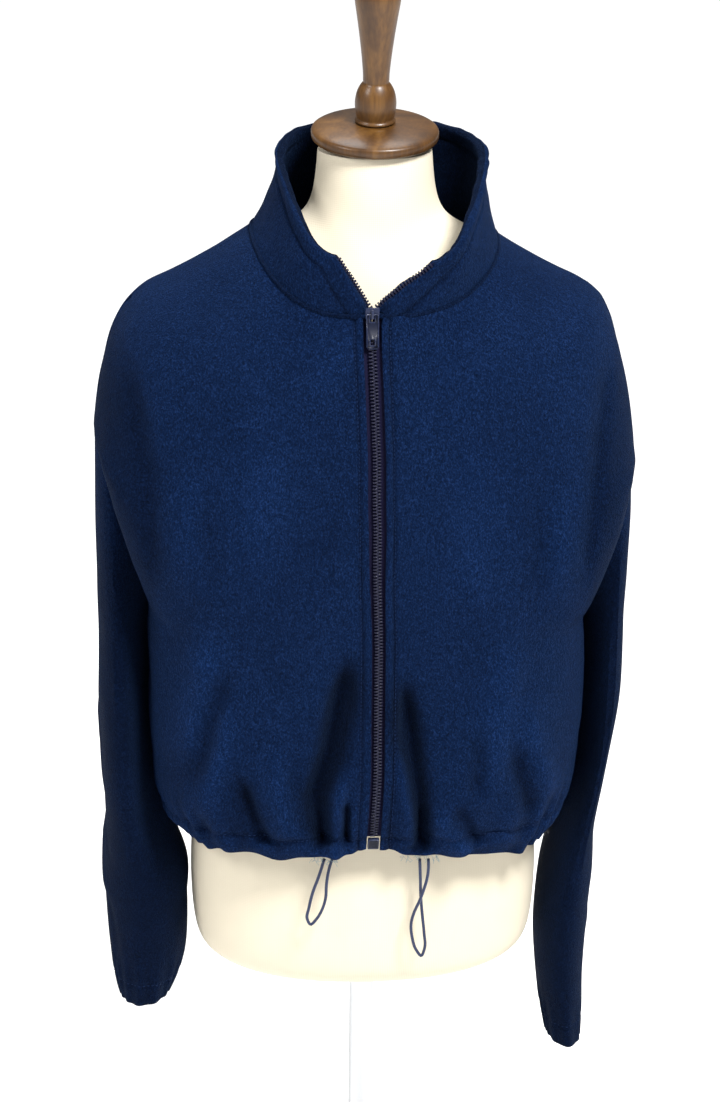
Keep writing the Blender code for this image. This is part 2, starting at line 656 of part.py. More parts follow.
def zip_point(level, across, depth):
    """Point of the zip: across it, and depth behind the fronts' faces, straight between their rows."""
    levels = body_levels()
    after = min(max(int(np.searchsorted(levels, level)), 1), len(levels) - 1)
    found = []
    for row in (levels[after - 1], levels[after]):
        x = float(centre_at(row, "zip_x")) + across
        y = -float(centre_at(row, "front_depth"))
        found.append(np.array([x, y, float(centre_at(row, "front_z"))]) - zip_slope(row)[1] * depth)
    share = (level - levels[after - 1]) / (levels[after] - levels[after - 1])
    return found[0] + (found[1] - found[0]) * share


def zip_levels():
    """Levels of the zip's rows, from just over the bottom box to just under the slider."""
    inside = [level for level in body_levels() if 0.3 < level < 14.6]
    return [14.62] + inside[::-1] + [0.10]


def add_tape(name, side, collar_outer, collar_inner, finish):
    """Zip tape: under the front's folded edge, then beside the collar's open front end."""
    rows = []
    for level in zip_levels():
        near = SEAM_GAP / 2
        far = TAPE_HALF_WIDTH if level > 0.3 else ZIP_OPENING / 2 - SEAM_GAP * 2
        back = FLEECE + TAPE_GAP
        rows.append([
            zip_point(level, side * near, back),
            zip_point(level, side * far, back),
            zip_point(level, side * far, back + TAPE_THICKNESS),
            zip_point(level, side * near, back + TAPE_THICKNESS),
        ])
    end = 0 if side == LEFT else -1
    neighbour = 1 if side == LEFT else -2
    for row in range(0, COLLAR_ROWS):
        outer = collar_outer[row, end]
        inner = collar_inner[row, end]
        rise = collar_outer[min(row + 1, COLLAR_ROWS - 1), end] - collar_outer[max(row - 1, 0), end]
        away = unit(np.cross(rise, inner - outer))
        away *= np.sign(np.dot(away, collar_outer[row, end] - collar_outer[row, neighbour]))
        middle = outer + (inner - outer) * 0.72
        thick = (inner - outer) / np.linalg.norm(inner - outer) * TAPE_THICKNESS
        width = 0.0068 if row else 0.0062
        near = middle + away * width
        far = middle + away * SEAM_GAP * (1.6 if row else 2.6)
        rows.append([near, far, far + thick, near + thick])
    return add_block(name, rows, finish)


def add_chain(finish):
    half = CHAIN_WIDTH / 2
    rows = []
    for level in zip_levels():
        front = FLEECE - CHAIN_THICKNESS
        rows.append([
            zip_point(level, -half, front),
            zip_point(level, half, front),
            zip_point(level, half, FLEECE),
            zip_point(level, -half, FLEECE),
        ])
    return add_block("zip_chain", rows, finish)


def add_bottom_box(metal):
    """Box that the two zip halves close into, under the chain's last teeth."""
    half = BOTTOM_BOX_WIDTH / 2
    rows = []
    for level, inset in ((14.64, 0.0006), (14.67, 0.0), (14.93, 0.0), (14.97, 0.0006)):
        rows.append([
            zip_point(level, inset - half, inset - 0.0012),
            zip_point(level, half - inset, inset - 0.0012),
            zip_point(level, half - inset, 0.0034 - inset),
            zip_point(level, inset - half, 0.0034 - inset),
        ])
    return add_block("zip_bottom_box", rows, metal)


def box_rows(low, high, bevel):
    """Rows of an upright box with its four vertical edges and both ends bevelled."""
    def outline(inset, z):
        x0 = low[0] + inset
        x1 = high[0] - inset
        y0 = low[1] + inset
        y1 = high[1] - inset
        return [
            (x0 + bevel, y0, z), (x1 - bevel, y0, z), (x1, y0 + bevel, z), (x1, y1 - bevel, z),
            (x1 - bevel, y1, z), (x0 + bevel, y1, z), (x0, y1 - bevel, z), (x0, y0 + bevel, z),
        ]
    inset = bevel * 0.6
    return [
        outline(inset, low[2]), outline(0.0, low[2] + inset),
        outline(0.0, high[2] - inset), outline(inset, high[2]),
    ]


def join_into(target, others):
    """Adds other closed solids to the target with exact unions."""
    for other in others:
        other.hide_render = True
        other.display_type = "WIRE"
        union = target.modifiers.new("join_" + other.name, "BOOLEAN")
        union.operation = "UNION"
        union.solver = "EXACT"
        union.object = other


def cut_from(target, cutter):
    cutter.hide_render = True
    cutter.display_type = "WIRE"
    cut = target.modifiers.new("cut_" + cutter.name, "BOOLEAN")
    cut.operation = "DIFFERENCE"
    cut.solver = "EXACT"
    cut.object = cutter


def place_on_zip(made, turn, spot):
    """Moves a piece made about its own origin to a spot on the zip, tilted as the zip is."""
    made.rotation_euler = (turn, 0.0, 0.0)
    made.location = Vector((spot[0], spot[1], spot[2] + FORM_BOTTOM))


def add_slider(metal):
    """Slider body with the arch that holds the pull tab; returns the zip's tilt and the tab's axis."""
    down = zip_slope(0.0)[0]
    turn = math.asin(down[1])
    spot = zip_point(0.0, 0.0, 0.0) - down * SLIDER_RISE
    boxes = [
        ("zip_slider", (-0.0060, -0.0016, -0.0045), (0.0060, 0.0009, 0.0045), 0.0008),
        ("slider_arch", (-0.0011, -0.0051, -0.0040), (0.0011, -0.0012, 0.0034), 0.0004),
        ("slider_arch_gap", (-0.0030, -0.0039, -0.0024), (0.0030, -0.00175, 0.0020), 0.0002),
    ]
    pieces = []
    for name, low, high, bevel in boxes:
        piece = add_block(name, box_rows(low, high, bevel), metal, lifted=False)
        place_on_zip(piece, 0.0, spot)
        pieces.append(piece)
    body, arch, gap = pieces
    cut_from(arch, gap)
    join_into(body, [arch])
    return turn, spot + np.array([0.0, -0.0028, -0.0010])


def add_tab(turn, axis, metal):
    """Pull tab hanging from its cross bar under the slider's arch; its origin is on that bar."""
    half = TAB_THICKNESS / 2
    length = TAB_LENGTH
    outline = [
        (-0.0046, 0.0007), (0.0046, 0.0007), (0.0052, -0.0010), (0.0052, -length + 0.0018),
        (0.0036, -length), (-0.0036, -length), (-0.0052, -length + 0.0018), (-0.0052, -0.0010),
    ]
    rows = [[(x, -half, z) for x, z in outline], [(x, half, z) for x, z in outline]]
    tab = add_block("zip_pull_tab", rows, metal, lifted=False)
    place_on_zip(tab, turn + TAB_LEAN, axis)
    holes = [("tab_eye", 0.0018, -0.0054, -0.0006), ("tab_slot", 0.0016, -0.0245, -0.0200)]
    for name, half_width, low, high in holes:
        corners = [(-half_width, low), (half_width, low), (half_width, high), (-half_width, high)]
        rows = [[(x, -0.002, z) for x, z in corners], [(x, 0.002, z) for x, z in corners]]
        cutter = add_block(name, rows, metal, lifted=False)
        place_on_zip(cutter, turn + TAB_LEAN, axis)
        cut_from(tab, cutter)
    return tab


def under_hem(outer, inner, x):
    """Point just under the middle of a front's hem edge at the given x."""
    hem = (outer[-1] + inner[-1]) / 2
    order = np.argsort(hem[:, 0])
    y = np.interp(x, hem[order, 0], hem[order, 1])
    z = np.interp(x, hem[order, 0], np.minimum(outer[-1], inner[-1])[order, 2])
    return (x, y, z - SEAM_GAP * 2)


def add_cord(name, route, grids, finish):
    """Round cord through its route points, read at even steps from a smooth curve."""
    route = np.array(route, float)
    route[0] = under_hem(*grids, route[0, 0])
    route[-1] = under_hem(*grids, route[-1, 0])
    knots = np.concatenate([[0.0], np.cumsum(np.linalg.norm(np.diff(route, axis=0), axis=1))])
    count = int(knots[-1] / (CORD_DIAMETER * 2.2)) + 1
    at = np.linspace(0.0, knots[-1], count)
    slopes = np.gradient(route, knots, axis=0, edge_order=2)
    points = []
    for value in at:
        place = min(max(int(np.searchsorted(knots, value, side="right")) - 1, 0), len(knots) - 2)
        step = knots[place + 1] - knots[place]
        share = (value - knots[place]) / step
        point = (2 * share**3 - 3 * share**2 + 1) * route[place]
        point = point + (share**3 - 2 * share**2 + share) * step * slopes[place]
        point = point + (-2 * share**3 + 3 * share**2) * route[place + 1]
        points.append(point + (share**3 - share**2) * step * slopes[place + 1])
    curve = bpy.data.curves.new(name, "CURVE")
    curve.dimensions = "3D"
    curve.bevel_depth = CORD_DIAMETER / 2
    curve.bevel_resolution = 2
    curve.use_fill_caps = True
    spline = curve.splines.new("POLY")
    spline.points.add(len(points) - 1)
    for place, point in enumerate(lift(points)):
        spline.points[place].co = (*point, 1.0)
    made = bpy.data.objects.new(name, curve)
    bpy.context.scene.collection.objects.link(made)
    curve.materials.append(finish)
    return made


def add_form(finish):
    heights = np.concatenate([
        column(FORM, "z")[:4], np.linspace(0.050, 0.545, 12), column(FORM, "z")[13:],
    ])
    rows = []
    for height in heights:
        read = {}
        for name in Section._fields:
            read[name] = float(smooth_curve(column(FORM, "z"), column(FORM, name), height))
        ring = []
        for step in range(44):
            angle = 2 * math.pi * step / 44
            across = signed_power(math.cos(angle), 2.0 / read["power"])
            forward = signed_power(math.sin(angle), 2.0 / read["power"])
            depth = read["front"] if forward > 0 else read["back"]
            ring.append((read["middle_x"] + read["half_width"] * across, -depth * forward, height))
        rows.append(ring)
    made = add_block("form_torso", rows, finish)
    for face in made.data.polygons:
        face.use_smooth = len(face.vertices) == 4
    return made


def build():
    clear_scene()
    fleece = material("navy_fleece", (0.010, 0.020, 0.085), 0.95)
    tape = material("navy_zip_tape", (0.020, 0.020, 0.090), 0.85)
    chain = material("navy_zip_coil", (0.010, 0.012, 0.050), 0.45)
    metal = material("navy_zip_metal", (0.020, 0.030, 0.110), 0.35, 0.5)
    cord = material("navy_cord", (0.012, 0.014, 0.050), 0.80)
    cloth = material("cream_form_cloth", (0.800, 0.740, 0.600), 0.90)
    wood = material("brown_varnished_wood", (0.230, 0.120, 0.055), 0.35)
    steel = material("brushed_stand_steel", (0.550, 0.550, 0.550), 0.35, 1.0)

    fronts = {}
    for side, word in ((LEFT, "left"), (RIGHT, "right")):
        fronts[side] = front_grids(side)
        add_wall("front_" + word, *fronts[side], fleece)
        outer, inner = sleeve_grids(side)
        add_wall("sleeve_" + word, outer, inner, fleece, closed=True)
    outer, inner = back_grids()
    add_wall("back", outer, inner, fleece)
    collar_outer, collar_inner = collar_grids()
    add_wall("collar", collar_outer, collar_inner, fleece)

    add_tape("zip_tape_left", LEFT, collar_outer, collar_inner, tape)
    add_tape("zip_tape_right", RIGHT, collar_outer, collar_inner, tape)
    add_chain(chain)
    turn, axis = add_slider(metal)
    add_tab(turn, axis, metal)
    add_bottom_box(metal)
    add_cord("drawcord_left", CORD_LEFT, fronts[LEFT], cord)
    add_cord("drawcord_right", CORD_RIGHT, fronts[RIGHT], cord)

    add_form(cloth)
    spin_solid(
        "form_neck_cap",
        [(0.0490, -0.0085), (CAP_RADIUS - 0.0012, -0.0070), (CAP_RADIUS, -0.0055), (CAP_RADIUS, 0.0),
         (CAP_RADIUS - 0.0012, 0.0014), (0.0440, 0.0042), (0.0300, 0.0060), (0.0190, 0.0068)],
        CAP_MIDDLE, wood, 56, CAP_TILT,
    )
    spin_solid(
        "form_finial",
        [(0.0150, 0.0071), (0.0172, 0.0076), (0.0172, 0.0095), (0.0156, 0.0106), (0.0158, 0.0116),
         (0.0172, 0.0180), (0.0176, 0.0240), (0.0168, 0.0305), (0.0146, 0.0365), (0.0118, 0.0405),
         (0.0106, 0.0418), (0.0112, 0.0436), (0.0108, 0.0456), (0.0122, 0.0620), (0.0148, 0.0830),
         (0.0178, 0.1030), (0.0196, 0.1130), (0.0190, 0.1190), (0.0160, 0.1225), (0.0090, 0.1245)],
        CAP_MIDDLE, wood, 36, CAP_TILT,
    )
    spin_solid(
        "stand_pole",
        [(POLE_RADIUS, -FORM_BOTTOM - FORM[0].z + BASE_HEIGHT + SEAM_GAP), (POLE_RADIUS, -0.0080),
         (0.0240, -0.0070), (0.0260, -0.0050), (0.0260, -SEAM_GAP)],
        (0.0, 0.0, FORM[0].z), steel, 32,
    )
    spin_solid(
        "stand_base",
        [(BASE_RADIUS - 0.002, -FORM_BOTTOM), (BASE_RADIUS, -FORM_BOTTOM + 0.002),
         (BASE_RADIUS, -FORM_BOTTOM + 0.007), (BASE_RADIUS - 0.0025, -FORM_BOTTOM + 0.0095),
         (0.0400, -FORM_BOTTOM + 0.0120), (0.0240, -FORM_BOTTOM + BASE_HEIGHT)],
        (0.0, 0.0, 0.0), steel, 64,
    )


build()
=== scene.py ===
import bpy
import bmesh
import math
import random
import numpy as np
from mathutils import Matrix, Vector, kdtree, noise
from mathutils.bvhtree import BVHTree


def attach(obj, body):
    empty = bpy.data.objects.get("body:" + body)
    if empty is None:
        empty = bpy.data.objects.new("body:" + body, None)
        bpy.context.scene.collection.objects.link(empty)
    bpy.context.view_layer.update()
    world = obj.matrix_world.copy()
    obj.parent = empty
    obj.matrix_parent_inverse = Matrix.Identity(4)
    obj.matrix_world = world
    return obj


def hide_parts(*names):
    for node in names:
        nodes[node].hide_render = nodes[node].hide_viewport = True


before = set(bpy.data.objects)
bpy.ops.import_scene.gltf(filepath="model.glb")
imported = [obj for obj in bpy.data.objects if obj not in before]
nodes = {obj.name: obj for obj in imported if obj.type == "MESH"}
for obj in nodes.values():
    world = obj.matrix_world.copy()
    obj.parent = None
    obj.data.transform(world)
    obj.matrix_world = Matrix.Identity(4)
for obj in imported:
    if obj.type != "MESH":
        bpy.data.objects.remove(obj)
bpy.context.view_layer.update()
bpy.context.scene.view_settings.view_transform = "Standard"
print("frame loaded,", len(nodes), "nodes")

# camera: a long lens a little left of the middle, looking down at the chest

cameraSettings = {
    "place": (-0.1674, -2.3942, 1.579),
    "pitch": 19.63,
    "turn": 4.0,
    "roll": 0.6,
    "lens": 95.36,
    "shiftX": -0.00537,
}


def addObject(name, data):
    made = bpy.data.objects.new(name, data)
    bpy.context.scene.collection.objects.link(made)
    return made


def addCamera(settings):
    pitch = math.radians(settings["pitch"])
    turn = math.radians(settings["turn"])
    roll = math.radians(settings["roll"])
    forward = Vector((math.sin(turn) * math.cos(pitch), math.cos(turn) * math.cos(pitch), -math.sin(pitch)))
    flatRight = forward.cross(Vector((0, 0, 1))).normalized()
    flatUp = flatRight.cross(forward)
    right = flatRight * math.cos(roll) + flatUp * math.sin(roll)
    up = flatUp * math.cos(roll) - flatRight * math.sin(roll)
    data = bpy.data.cameras.new("studioCamera")
    data.lens = settings["lens"]
    data.sensor_width = 36
    data.shift_x = settings["shiftX"]
    data.clip_end = 50
    camera = addObject("studioCamera", data)
    turned = Matrix((right, up, -forward)).transposed().to_4x4()
    camera.matrix_world = Matrix.Translation(settings["place"]) @ turned
    bpy.context.scene.camera = camera


addCamera(cameraSettings)


# shader sums: a wrapped socket, so that materials read as plain expressions

class Wire:
    def __init__(self, tree, socket=None):
        self.tree = tree
        self.socket = socket

    def add(self, kind, settings=None, sockets=None, out=0):
        made = self.tree.nodes.new(kind)
        for key, value in (settings or {}).items():
            if key == "stops":
                ramp = made.color_ramp
                while len(ramp.elements) < len(value):
                    ramp.elements.new(1.0)
                for element, (place, tone) in zip(ramp.elements, value):
                    element.position = place
                    element.color = (*tone, 1.0)
            else:
                setattr(made, key, value)
        for key, value in (sockets or {}).items():
            if isinstance(value, Wire):
                self.tree.links.new(value.socket, made.inputs[key])
            else:
                made.inputs[key].default_value = value
        return Wire(self.tree, made.outputs[out])

    def sum(self, operation, first, second=0.0):
        return self.add("ShaderNodeMath", {"operation": operation}, {0: first, 1: second})

    def __add__(self, other):
        return self.sum("ADD", self, other)

    def __radd__(self, other):
        return self.sum("ADD", other, self)

    def __sub__(self, other):
        return self.sum("SUBTRACT", self, other)

    def __rsub__(self, other):
        return self.sum("SUBTRACT", other, self)

    def __mul__(self, other):
        return self.sum("MULTIPLY", self, other)

    def __rmul__(self, other):
        return self.sum("MULTIPLY", other, self)

    def __pow__(self, other):
        return self.sum("POWER", self, other)


def newFinish(name, plain):
    made = bpy.data.materials.new(name)
    made.use_nodes = True
    tree = made.node_tree
    shader = tree.nodes["Principled BSDF"]
    for key, value in plain.items():
        shader.inputs[key].default_value = value
    return made, Wire(tree), shader


def connect(shader, **wires):
    for key, wire in wires.items():
        socket = {"colour": "Base Color", "roughness": "Roughness", "normal": "Normal"}[key]
        wire.tree.links.new(wire.socket, shader.inputs[socket])


def objectPlace(wire, scale=(1, 1, 1)):
    place = wire.add("ShaderNodeTexCoord", out=3)
    return wire.add("ShaderNodeMapping", sockets={"Vector": place, "Scale": scale})


def noiseAt(wire, place, scale, detail=3.0, rough=0.55, distortion=0.0):
    sockets = {"Vector": place, "Scale": scale, "Detail": detail, "Roughness": rough, "Distortion": distortion}
    return wire.add("ShaderNodeTexNoise", sockets=sockets)


def mixColours(wire, factor, first, second):
    made = wire.tree.nodes.new("ShaderNodeMix")
    made.data_type = "RGBA"
    for index, value in ((0, factor), (6, first), (7, second)):
        if isinstance(value, Wire):
            wire.tree.links.new(value.socket, made.inputs[index])
        else:
            made.inputs[index].default_value = value if index == 0 else (*value, 1.0)
    return Wire(wire.tree, made.outputs[2])


def bumpFrom(wire, height, strength, distance):
    sockets = {"Height": height, "Strength": strength, "Distance": distance}
    return wire.add("ShaderNodeBump", sockets=sockets)


fleeceSettings = {
    "deep": (0.0009, 0.0046, 0.0190),
    "middle": (0.0018, 0.0084, 0.0345),
    "tips": (0.0066, 0.0215, 0.0790),
    "napScale": 820,
    "clumpScale": 340,
    "brushScale": 14,
}


def makeFleece(settings):
    plain = {
        "Roughness": 0.92,
        "Specular IOR Level": 0.04,
        "Sheen Weight": 0.05,
        "Sheen Roughness": 0.42,
        "Sheen Tint": (0.16, 0.36, 0.90, 1.0),
    }
    made, wire, shader = newFinish("navyFleece", plain)
    place = objectPlace(wire, (1.0, 1.0, 0.62))
    nap = noiseAt(wire, place, settings["napScale"], 3.0, 0.62, 0.6)
    clump = noiseAt(wire, place, settings["clumpScale"], 2.0, 0.5, 0.4)
    brushed = noiseAt(wire, place, settings["brushScale"], 3.0, 0.5, 0.5)
    height = nap * 0.72 + clump * 0.28
    pileToneAndSleeveShade = nap * 0.76 + clump * 0.14 + brushed * 0.10
    # the colour is multiplied by a per-point factor of painted shade and painted highlight, laid on each cloth piece
    shadeFactor = wire.add("ShaderNodeAttribute", {"attribute_name": "pileLight"})
    stops = [(0.375, settings["deep"]), (0.50, settings["middle"]), (0.650, settings["tips"])]
    colour = wire.add("ShaderNodeValToRGB", {"stops": stops}, {"Fac": pileToneAndSleeveShade})
    lit = wire.add("ShaderNodeVectorMath", {"operation": "MULTIPLY"}, {0: colour, 1: shadeFactor})
    connect(shader, colour=lit, normal=bumpFrom(wire, height, 1.0, 0.0030))
    return made


def makeWeave(name, warm, cool, plain, scale, depth):
    made, wire, shader = newFinish(name, plain)
    place = objectPlace(wire)
    across = wire.add("ShaderNodeTexWave", {"bands_direction": "X"}, {"Vector": place, "Scale": scale})
    down = wire.add("ShaderNodeTexWave", {"bands_direction": "Z"}, {"Vector": place, "Scale": scale})
    cloudy = noiseAt(wire, place, 9.0, 3.0)
    threads = across * 0.5 + down * 0.5
    colour = mixColours(wire, cloudy * 0.5 + threads * 0.5, cool, warm)
    connect(shader, colour=colour, normal=bumpFrom(wire, threads, 0.35, depth))
    return made


def makeWood():
    plain = {"Roughness": 0.42, "Coat Weight": 0.22, "Coat Roughness": 0.22, "Specular IOR Level": 0.35}
    made, wire, shader = newFinish("varnishedWood", plain)
    place = objectPlace(wire, (1.0, 1.0, 0.16))
    warp = noiseAt(wire, place, 26.0, 3.0, 0.6, 1.2)
    fine = noiseAt(wire, objectPlace(wire, (1.0, 1.0, 0.05)), 420.0, 2.0, 0.6)
    grain = warp * 0.72 + fine * 0.28
    stops = [(0.30, (0.026, 0.010, 0.0020)), (0.50, (0.074, 0.031, 0.0062)), (0.70, (0.150, 0.070, 0.0150))]
    colour = wire.add("ShaderNodeValToRGB", {"stops": stops}, {"Fac": grain})
    connect(shader, colour=colour, normal=bumpFrom(wire, fine, 0.08, 0.0004))
    return made


def makeSteel():
    made, wire, shader = newFinish("brushedSteel", {"Metallic": 1.0, "Base Color": (0.56, 0.57, 0.58, 1)})
    place = objectPlace(wire, (1.0, 1.0, 14.0))
    fine = noiseAt(wire, place, 60.0, 3.0, 0.6)
    wear = noiseAt(wire, objectPlace(wire), 14.0, 3.0)
    connect(shader, roughness=fine * 0.16 + wear * 0.14 + 0.20, normal=bumpFrom(wire, fine, 0.10, 0.0003))
    return made


def makeEnamel(name, tone, worn, roughness, coat=0.15, shine=0.35):
    made, wire, shader = newFinish(name, {
        "Roughness": roughness, "Coat Weight": coat, "Specular IOR Level": shine})
    cloudy = noiseAt(wire, objectPlace(wire), 700.0, 3.0)
    colour = mixColours(wire, cloudy ** 2.0, tone, worn)
    connect(shader, colour=colour, normal=bumpFrom(wire, cloudy, 0.10, 0.0002))
    return made


def makeBraid(name, deep, light, turns, pitch):
    made, wire, shader = newFinish(name, {"Roughness": 0.72, "Sheen Weight": 0.2})
    along = wire.add("ShaderNodeUVMap", {"uv_map": "route"})
    place = wire.add("ShaderNodeSeparateXYZ", sockets={"Vector": along})
    down = Wire(wire.tree, place.socket.node.outputs[1])
    first = wire.sum("SINE", place * (turns * 2 * math.pi) + down * (2 * math.pi / pitch))
    second = wire.sum("SINE", place * (turns * 2 * math.pi) - down * (2 * math.pi / pitch))
    braid = wire.sum("MAXIMUM", first, second) * 0.5 + 0.5
    colour = mixColours(wire, braid, deep, light)
    connect(shader, colour=colour, normal=bumpFrom(wire, braid, 0.6, 0.0003))
    return made


fleece = makeFleece(fleeceSettings)
tapeWeave = makeWeave(
    "zipTapeWeave", (0.008, 0.007, 0.030), (0.004, 0.004, 0.018),
    {"Roughness": 0.86, "Specular IOR Level": 0.12}, 260.0, 0.0003)
formCloth = makeWeave(
    "creamFormCloth", (0.760, 0.690, 0.548), (0.700, 0.625, 0.478),
    {"Roughness": 0.88, "Sheen Weight": 0.10, "Specular IOR Level": 0.2}, 200.0, 0.0003)
wood = makeWood()
steel = makeSteel()
enamel = makeEnamel("navyEnamel", (0.005, 0.009, 0.032), (0.022, 0.034, 0.085), 0.36)
enamelDark = makeEnamel("navyEnamelInset", (0.0020, 0.0040, 0.0150), (0.006, 0.010, 0.030), 0.50, 0.05, 0.2)
toothPlastic = makeEnamel("zipToothPlastic", (0.0035, 0.0040, 0.0170), (0.010, 0.011, 0.038), 0.46, 0.04, 0.25)
thread = makeEnamel("navyThread", (0.0035, 0.0120, 0.0480), (0.010, 0.026, 0.090), 0.70, 0.0, 0.1)
paleThread = makeEnamel("paleThreadEnds", (0.200, 0.330, 0.380), (0.520, 0.600, 0.620), 0.75, 0.0, 0.1)
cordBraid = makeBraid("navyCordBraid", (0.003, 0.008, 0.034), (0.012, 0.024, 0.078), 8.0, 0.0030)
print("finishes ready")


# drawcords: two loops hanging out of the hem casing

cordSettings = {
    "diameter": 0.0027,
    "left": [
        (-0.0415, -0.1190, 0.4845), (-0.0460, -0.1185, 0.4680), (-0.0515, -0.1180, 0.4510),
        (-0.0545, -0.1175, 0.4370), (-0.0560, -0.1172, 0.4265), (-0.0530, -0.1172, 0.4210),
        (-0.0480, -0.1174, 0.4260), (-0.0430, -0.1178, 0.4355), (-0.0400, -0.1182, 0.4470),
        (-0.0395, -0.1186, 0.4590), (-0.0380, -0.1188, 0.4710), (-0.0345, -0.1190, 0.4845),
    ],
    "right": [
        (0.0410, -0.1190, 0.4825), (0.0420, -0.1185, 0.4630), (0.0425, -0.1172, 0.4490),
        (0.0440, -0.1172, 0.4310), (0.0462, -0.1174, 0.4100), (0.0470, -0.1175, 0.3970),
        (0.0440, -0.1178, 0.3885), (0.0390, -0.1182, 0.3955), (0.0355, -0.1188, 0.4080),
        (0.0345, -0.1195, 0.4210), (0.0370, -0.1205, 0.4325), (0.0415, -0.1212, 0.4440),
        (0.0445, -0.1210, 0.4530), (0.0478, -0.1198, 0.4650), (0.0485, -0.1190, 0.4825),
    ],
}


def smoothRoute(route, spacing):
    # a cubic through the points, read at even steps
    route = np.array(route, float)
    knots = np.concatenate([[0.0], np.cumsum(np.linalg.norm(np.diff(route, axis=0), axis=1))])
    slopes = np.gradient(route, knots, axis=0, edge_order=2)
    at = np.linspace(0.0, knots[-1], int(knots[-1] / spacing) + 1)
    place = np.clip(np.searchsorted(knots, at, side="right") - 1, 0, len(knots) - 2)
    step = (knots[place + 1] - knots[place])[:, None]
    share = (at - knots[place])[:, None] / step
    start = (2 * share**3 - 3 * share**2 + 1) * route[place]
    start = start + (share**3 - 2 * share**2 + share) * step * slopes[place]
    end = (3 * share**2 - 2 * share**3) * route[place + 1]
    return start + end + (share**3 - share**2) * step * slopes[place + 1]


def tubeAlong(name, points, radius, sides, finish):
    # round tube with its own route map: around, then metres along
    points = [Vector(point) for point in points]
    made = bpy.data.meshes.new(name)
    rings = []
    side = Vector((0, 0, 1)).cross(points[1] - points[0]).normalized()
    if side.length < 0.5:
        side = Vector((1, 0, 0))
    for index, point in enumerate(points):
        before = points[max(index - 1, 0)]
        after = points[min(index + 1, len(points) - 1)]
        along = (after - before).normalized()
        side = (side - along * side.dot(along)).normalized()
        lift = along.cross(side)
        for turn in range(sides):
            angle = 2 * math.pi * turn / sides
            rings.append(point + side * (radius * math.cos(angle)) + lift * (radius * math.sin(angle)))
    faces = []
    for row in range(len(points) - 1):
        for turn in range(sides):
            after = (turn + 1) % sides
            a = row * sides
            faces.append((a + turn, a + after, a + sides + after, a + sides + turn))
    faces.append(tuple(range(sides))[::-1])
    faces.append(tuple(range((len(points) - 1) * sides, len(points) * sides)))
    made.from_pydata([tuple(point) for point in rings], [], faces)
    route = made.uv_layers.new(name="route")
    walked = [0.0]
    for index in range(1, len(points)):
        walked.append(walked[-1] + (points[index] - points[index - 1]).length)
    for index, face in enumerate(made.polygons):
        if len(face.vertices) != 4 or index >= (len(points) - 1) * sides:
            continue
        turn = index % sides
        for loop, corner in zip(face.loop_indices, (0, 1, 1, 0)):
            row = made.loops[loop].vertex_index // sides
            route.data[loop].uv = ((turn + corner) / sides, walked[row])
    for face in made.polygons:
        face.use_smooth = True
    made.materials.append(finish)
    return addObject(name, made)


def addCords(settings):
    for word in ("left", "right"):
        points = smoothRoute(settings[word], 0.0022)
        measured = float(np.linalg.norm(np.diff(points, axis=0), axis=1).sum())
        print("cord", word, "measures", round(measured, 4))
        piece = tubeAlong("cord_" + word, points, settings["diameter"] / 2, 12, cordBraid)
        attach(piece, "jacket_on_form")
        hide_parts("drawcord_" + word)


addCords(cordSettings)
print("cords hung")


# tools for the cloth

def pickOnly(*pieces):
    bpy.ops.object.select_all(action="DESELECT")
    for piece in pieces:
        piece.select_set(True)
    bpy.context.view_layer.objects.active = pieces[0]


def joinAs(name, pieces):
    pickOnly(*pieces)
    bpy.ops.object.join()
    joined = bpy.context.view_layer.objects.active
    joined.name = name
    return joined


def softCopy(node, name, finish, bevel, levels, creaseAngle=50):
    # a merged copy of a solid, its hard edges rounded, then subdivided
    mesh = nodes[node].data.copy()
    mesh.name = name
    shape = bmesh.new()
    shape.from_mesh(mesh)
    bmesh.ops.remove_doubles(shape, verts=shape.verts, dist=0.00002)
    bmesh.ops.join_triangles(
        shape, faces=shape.faces, cmp_seam=False, cmp_sharp=False, cmp_uvs=False, cmp_vcols=False,
        cmp_materials=False, angle_face_threshold=math.radians(60), angle_shape_threshold=math.radians(120))
    if bevel:
        hard = [edge for edge in shape.edges
                if len(edge.link_faces) == 2 and edge.calc_face_angle(0.0) > math.radians(creaseAngle)]
        bmesh.ops.bevel(
            shape, geom=hard, offset=bevel, offset_type="OFFSET", segments=2, profile=0.5, affect="EDGES",
            clamp_overlap=True)
    shape.to_mesh(mesh)
    shape.free()
    mesh.materials.clear()
    mesh.materials.append(finish)
    piece = addObject(name, mesh)
    pickOnly(piece)
    if levels:
        rounding = piece.modifiers.new("rounding", "SUBSURF")
        rounding.levels = levels
        rounding.render_levels = levels
        bpy.ops.object.modifier_apply(modifier=rounding.name)
    bpy.ops.object.shade_smooth()
    return piece


def thinMesh(piece, share):
    # the piece keeps this share of its triangles
    pickOnly(piece)
    thinning = piece.modifiers.new("thinning", "DECIMATE")
    thinning.ratio = share
    bpy.ops.object.modifier_apply(modifier=thinning.name)


def readPoints(piece):
    points = np.empty(len(piece.data.vertices) * 3)
    piece.data.vertices.foreach_get("co", points)
    return points.reshape(-1, 3)


def paintShade(piece, light):
    # paints light and shade into the colour: a per-point factor, below one for painted shade, above one for painted
    # highlight
    shade = piece.data.attributes.new("pileLight", "FLOAT_COLOR", "POINT")
    light = np.clip(light, 0.15, 1.6)
    shade.data.foreach_set("color", np.stack([light, light, light, np.ones(len(light))], axis=1).ravel())


def writePoints(piece, points):
    piece.data.vertices.foreach_set("co", np.asarray(points, float).ravel())
    piece.data.update()


